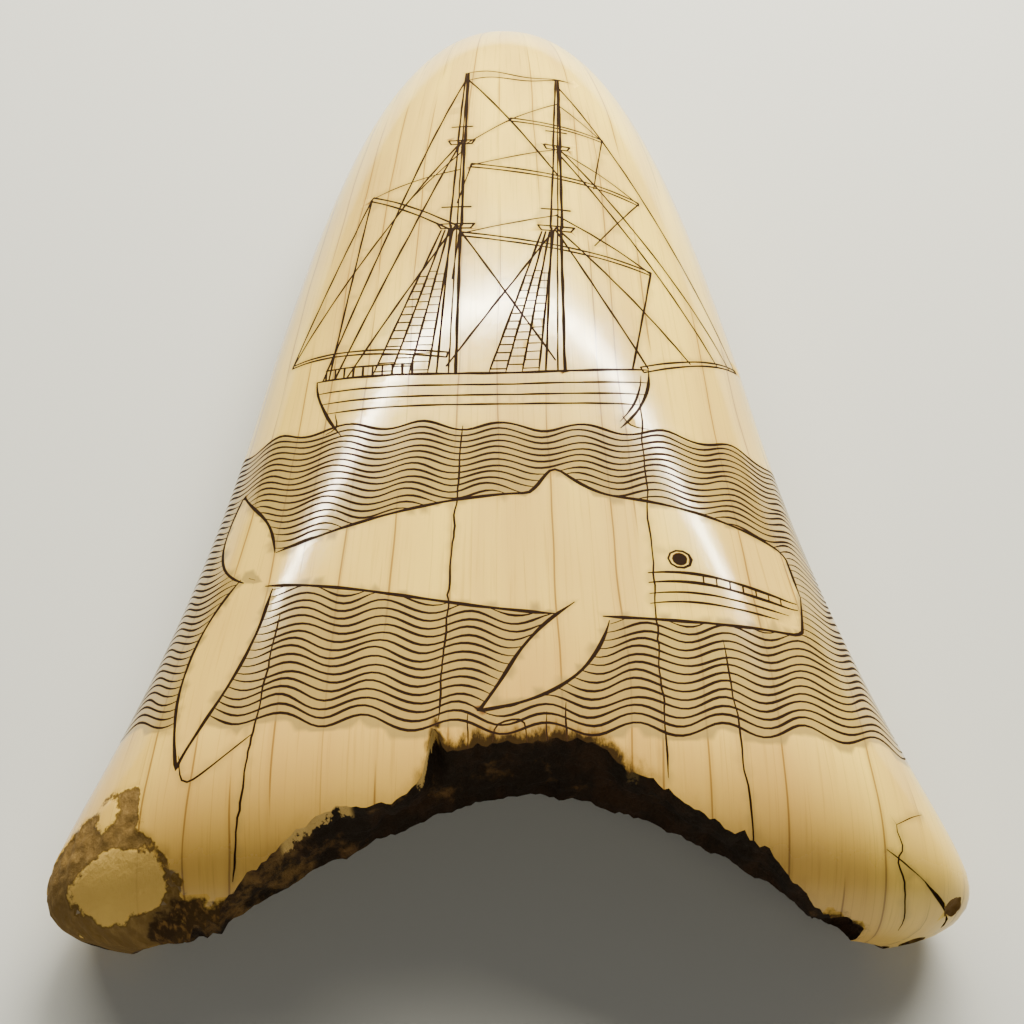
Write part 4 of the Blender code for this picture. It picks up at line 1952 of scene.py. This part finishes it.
    def break_rings(self) -> list[Ring]:
        """Rings of the block that leaves the broken edge, its near face rough as torn dentine.

        Returns:
            The rings.
        """
        span = self.edge.half_span
        x = np.linspace(-span, span, int(2 * span / self.break_spacing) + 1)
        rim, foot = self.edge.at(x), self.edge.foot(x)
        top = self.form.crown_height(x, rim)
        far = -2.0 * self.form.length
        rings = []
        for z in np.concatenate([[-20.0], np.arange(-1.0, 30.0, 0.6), [60.0]]).tolist():
            ring = []
            for i in range(len(x)):
                rough = 0.6 * noise.fractal(Vector((x[i] * 0.35, z * 0.2, 3.0)), 0.6, 2.1, 6)
                lip = 0.5 + 0.5 * noise.noise(Vector((x[i] * 0.5, 4.0, 1.0)))
                below_top = top[i] - z
                share = min(max(below_top / 9.0, 0.0), 1.0)
                y = rim[i] + (foot[i] - rim[i]) * share * share * (3.0 - 2.0 * share)
                y += rough * min(1.0, max(below_top, 0.0) / 3.0)
                y += 0.35 * lip * max(0.0, min(1.0, 1.0 - below_top / (0.5 + 1.2 * lip)))
                ring.append((float(x[i]), float(y), z))
            rings.append([(-span, far, z), *ring, (span, far, z)])
        return rings

    def carve(self, target: Object, cutter: Object) -> None:
        """Takes a cutter out of the target for good and removes the cutter.

        Args:
            target: the object that is cut.
            cutter: what is taken out of it.
        """
        modifier = target.modifiers.new(cutter.name, "BOOLEAN")
        modifier.operation = "DIFFERENCE"
        modifier.solver = "EXACT"
        modifier.material_mode = "TRANSFER"
        modifier.object = cutter
        evaluated = target.evaluated_get(bpy.context.evaluated_depsgraph_get())
        mesh = bpy.data.meshes.new_from_object(evaluated)
        target.modifiers.clear()
        target.data = mesh
        bpy.data.objects.remove(cutter, do_unlink=True)

    def scoop(self, name: str, middle: Point, radius: float, skin: Material) -> Object:
        """A rough ball that chips the edge.

        Args:
            name: the cutter's name.
            middle: its centre.
            radius: its radius.
            skin: the material of the face it leaves.

        Returns:
            The cutter.
        """
        bm = bmesh.new()
        bmesh.ops.create_icosphere(bm, subdivisions=4, radius=radius * MM)
        for vert in bm.verts:
            rough = noise.fractal(vert.co / MM * 0.55 + Vector(middle), 0.8, 2.1, 3)
            vert.co = Vector(middle) * MM + vert.co * (1.0 + 0.22 * rough)
        return new_cutter(name, bm, skin)

    def laid_flat(self, mesh: Mesh) -> tuple[Array, Array, Array]:
        """Unrolls the finished mesh, its undercut and underside included.

        Args:
            mesh: the finished mesh.

        Returns:
            Each point's s and t, and whether it is on the crown and whether it is on the undercut.
        """
        places = stored(mesh, "position", 3) / MM
        x, y, z = places.T
        flat, before_cuts = self.crown.flatten(places), stored(mesh, "flow", 2)
        span = self.crown.half_span(flat[:, 1])
        above = z >= self.form.belt_height - 0.01
        uncut = above & (np.abs(before_cuts - flat).max(axis=1) < self.uncut_within)
        flat = np.where(uncut[:, None], before_cuts, flat)
        half_width = self.form.section(y).half_width
        undercut = ~above & (np.abs(x) > half_width - np.minimum(self.form.foot_rounding, half_width))
        below = np.sign(x) * (span + (self.form.belt_height - z))
        flat[:, 0] = np.where(above, flat[:, 0], np.where(undercut, below, x * self.underside_stretch))
        return flat, above, undercut

    def attributes(self, mesh: Mesh) -> Array:
        """Stores what the finishes read: grain direction, ink, decay and nearness to the broken edge.

        Args:
            mesh: the finished mesh.

        Returns:
            How deep each point is cut.
        """
        x, y, z = stored(mesh, "position", 3).T / MM
        flat, above, undercut = self.laid_flat(mesh)
        ink, depth, haze = np.zeros((3, len(flat)))
        ink[above], depth[above] = self.engraving.measure(flat[above])
        ink[ink < self.engraving.faintest] = 0.0
        haze[above], _ = self.engraving.measure(flat[above], margin=self.haze_margin)
        from_belt = self.crown.half_span(flat[:, 1]) - np.abs(flat[:, 0])
        haze *= np.clip((from_belt - self.haze_stop) / self.haze_fade, 0.0, 1.0)
        steady = self.crown.half_span(np.maximum(flat[:, 1], self.grain_fans_above))
        fan = flat[:, 0] * (self.grain_span / np.maximum(steady, 12.0)) ** self.grain_gather
        past_break = np.clip(np.abs(x) - self.stain_ends, 0.0, None)
        rim = self.edge.at(x)
        top = self.form.crown_height(np.clip(x, -self.edge.half_span, self.edge.half_span), rim)
        scalars = {
            "ink": ink, "haze": haze,
            "crust": np.where(above | undercut, self.decay.crust_field(flat), FAR_OUTSIDE),
            "hem": np.where(above | undercut, self.decay.hem_field(flat), FAR_OUTSIDE),
            "worn": np.where(above, self.decay.worn.depth_inside(flat), FAR_OUTSIDE),
            "from_edge": y - rim + 2.0 * past_break, "below_top": top - z, "fresh": self.edge.fresh(x),
            "stained": self.edge.stained_spot.at(x),
            "crumbly": sum(spot.at(x) for spot in self.edge.crumbly_spots)}
        for name, values in scalars.items():
            store(mesh, name, "FLOAT", values)
        layer = np.where(above, 0.0, self.underside_layer)
        store(mesh, "flow", "FLOAT_VECTOR", np.stack([fan, flat[:, 1], layer], axis=1))
        return depth

    def sort_states(self, mesh: Mesh, states: dict[Gloss, Material]) -> None:
        """Gives inked cuts and decayed places their own state of the ivory.

        Args:
            mesh: the finished mesh, with its attributes.
            states: the ivory's materials.
        """
        inked = stored(mesh, "ink") > 0.0
        decayed = np.max([stored(mesh, name) for name in ("crust", "hem", "worn")], axis=0) > 0.2
        names = [material.name for material in mesh.materials]
        polished = names.index(states[Gloss.POLISHED].name)
        for gloss in (Gloss.INKED, Gloss.DECAYED):
            mesh.materials.append(states[gloss])
        for polygon in mesh.polygons:
            if polygon.material_index != polished:
                continue
            corners = list(polygon.vertices)
            if decayed[corners].any():
                polygon.material_index = len(names) + 1
            elif inked[corners].any():
                polygon.material_index = len(names)

    def shade(self, mesh: Mesh, depth: Array) -> None:
        """Gives the smooth ivory the exact normals of its form, and leaves cracks and breaks their own.

        Args:
            mesh: the finished mesh.
            depth: how deep each point is cut.
        """
        exact = self.form.normals(stored(mesh, "position", 3) / MM)
        normals = np.zeros((len(mesh.loops), 3))
        kinds = [-1 if m.name.startswith(PolishedIvory.name) else i for i, m in enumerate(mesh.materials)]
        plain = (depth < 0.2) & (stored(mesh, "crust") < -0.8) & (stored(mesh, "worn") < -0.8)
        for polygon in mesh.polygons:
            polygon.use_smooth = True
            if kinds[polygon.material_index] >= 0 or not plain[list(polygon.vertices)].all():
                continue
            face = np.array(polygon.normal)
            for loop in polygon.loop_indices:
                normal = exact[mesh.loops[loop].vertex_index]
                if normal @ face > 0.8:
                    normals[loop] = normal
        bm = bmesh.new()
        bm.from_mesh(mesh)
        for edge in bm.edges:
            if len({kinds[face.material_index] for face in edge.link_faces}) > 1:
                edge.smooth = False
        bm.to_mesh(mesh)
        bm.free()
        mesh.normals_split_custom_set(normals.tolist())

    def bake_map(self, mesh: Mesh) -> None:
        """Lays the mesh out flat for texturing: crown sheet, underside with hollow, and the broken edge.

        Args:
            mesh: the finished mesh.
        """
        places = stored(mesh, "position", 3) / MM
        x, y, z = places.T
        sheet = self.crown.flatten(places) + self.sheet_at
        outward = self.form.normals(places)[:, :2]
        outward /= np.maximum(np.linalg.norm(outward, axis=1, keepdims=True), 1e-6)
        spread = self.undercut_spread * np.clip(z / self.form.belt_height, 0.0, 1.0)[:, None]
        under = np.stack([-x, y], axis=1) + outward * (-1.0, 1.0) * spread + self.underside_at
        wall = np.stack([x, z], axis=1) + self.wall_at
        chips = np.stack([x + y * 0.3, z], axis=1) + self.chips_at
        names = [m.name for m in mesh.materials]
        uv = np.zeros((len(mesh.loops), 2))
        for polygon in mesh.polygons:
            corners = list(polygon.vertices)
            name = names[polygon.material_index]
            if name == TornDentine.name:
                middle = x[corners].mean()
                chipped = y[corners].mean() < self.edge.at(middle) - 3.5 or abs(middle) > 43.0
                chosen = chips if chipped else wall
            elif name.startswith(PolishedIvory.name) and z[corners].min() > self.form.belt_height - 0.05:
                chosen = sheet
            else:
                chosen = under
            uv[polygon.loop_start:polygon.loop_start + len(corners)] = chosen[corners] / self.map_side
        mesh.uv_layers.new(name="OFBake").data.foreach_set("uv", uv.reshape(-1))


# ---- Studio


def aim(obj: Object, place: Vector, target: Vector) -> None:
    """Puts a light or the camera at a place and turns it to a target, in metres."""
    obj.location = place
    obj.rotation_euler = (target - place).to_track_quat("-Z", "Y").to_euler()


@dataclass(frozen=True)
class SoftLight:
    """A rectangular soft light: its place, length along X and width in metres, and its power in watts."""

    name: str
    place: Point
    size: Pair
    power: float
    mirrored: bool = False
    colour: Point = (1.0, 0.955, 0.76)

    def hang(self, target: Vector) -> None:
        """Hangs the light.

        Args:
            target: what it points at, in metres.
        """
        data = bpy.data.lights.new(self.name, "AREA")
        data.shape = "RECTANGLE"
        data.size, data.size_y = self.size
        data.energy = self.power
        data.color = self.colour
        lamp = new_object(self.name, data)
        lamp.visible_glossy = self.mirrored
        lamp.visible_camera = False
        aim(lamp, Vector(self.place), target)


@dataclass(frozen=True)
class Studio:
    """A pale floor, a long mirrored strip and a dim wide one behind the tip, soft lights and the camera."""

    floor_size: float = 2400.0
    floor_colour: str = "#b8b9bb"
    camera_place: Point = (0.0, -125.0, 155.3)
    camera_aim: Point = (0.8, -13.1, 0.0)
    lens: float = 50.0
    centre: Point = (0.0, 0.0, 0.02)
    lights: tuple[SoftLight, ...] = (
        SoftLight("strip_behind", (0.0, 0.5, 0.55), (1.1, 0.014), 12.0, mirrored=True),
        SoftLight("veil_behind", (0.0, 0.5, 0.56), (1.1, 0.14), 1.5, mirrored=True),
        SoftLight("soft_above", (0.15, 0.34, 0.38), (0.35, 0.35), 5.2),
        SoftLight("soft_over_tip", (0.04, 0.18, 0.18), (0.15, 0.15), 0.65),
        SoftLight("soft_in_front", (0.1, -0.5, 0.4), (0.5, 0.5), 1.2))

    def floor(self) -> None:
        """Lays the floor."""
        half = self.floor_size / 2 * MM
        mesh = bpy.data.meshes.new("floor")
        corners = [(-half, -half, 0.0), (half, -half, 0.0), (half, half, 0.0), (-half, half, 0.0)]
        mesh.from_pydata(corners, [], [(0, 1, 2, 3)])
        material, tree, shader = new_material("pale_matt_floor")
        connect(tree, shader, {"Base Color": linear(self.floor_colour), "Roughness": 0.9})
        mesh.materials.append(material)
        floor = new_object("floor", mesh)

    def build(self) -> None:
        """Sets up the whole studio."""
        self.floor()
        for light in self.lights:
            light.hang(Vector(self.centre))
        world = bpy.data.worlds.new("studio")
        world.use_nodes = True
        sky = {"Color": (1.0, 0.98, 0.95, 1.0), "Strength": 0.08}
        connect(world.node_tree, world.node_tree.nodes["Background"], sky)
        bpy.context.scene.world = world
        data = bpy.data.cameras.new("camera")
        data.lens = self.lens
        data.clip_start = 0.01
        camera = new_object("camera", data)
        aim(camera, Vector(self.camera_place) * MM, Vector(self.camera_aim) * MM)
        bpy.context.scene.camera = camera


def main() -> None:
    """Builds the tooth, its materials and the studio."""
    logging.basicConfig(level=logging.INFO, format="%(name)s: %(message)s")
    form = ToothForm()
    crown = CrownMap(form)
    edge = BrokenEdge()
    decay = Decay()
    pen = Pen()
    Brig().cut(pen)
    Whale().cut(pen)
    Sea().cut(pen, crown, edge)
    Cracks().cut(pen)
    LOG.info("picture: %d strokes", len(pen.strokes))
    piece = ToothPiece(form, edge, crown, Engraving(pen.strokes), decay)
    sheet = CrownSheet(crown, pen.strokes, crown.belt(piece.belt_spacing), decay)
    ivory = {gloss: PolishedIvory().material(gloss) for gloss in Gloss}
    torn = TornDentine().material()
    pulp = PulpWall().material()
    tooth = piece.solid(sheet, ivory[Gloss.POLISHED])
    piece.carve(tooth, piece.loft("pulp_hollow", piece.hollow_rings(), pulp))
    piece.carve(tooth, piece.loft("broken_edge", piece.break_rings(), torn))
    for name, middle, radius in piece.chips:
        piece.carve(tooth, piece.scoop(name, middle, radius, torn))
    tooth.name = tooth.data.name = "scrimshaw_tooth"
    depth = piece.attributes(tooth.data)
    piece.sort_states(tooth.data, ivory)
    piece.shade(tooth.data, depth)
    piece.bake_map(tooth.data)
    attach(tooth, "root")
    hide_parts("tooth")
    LOG.info("tooth: %d faces", len(tooth.data.polygons))
    Studio().build()
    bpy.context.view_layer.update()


if __name__ == "__main__":
    main()
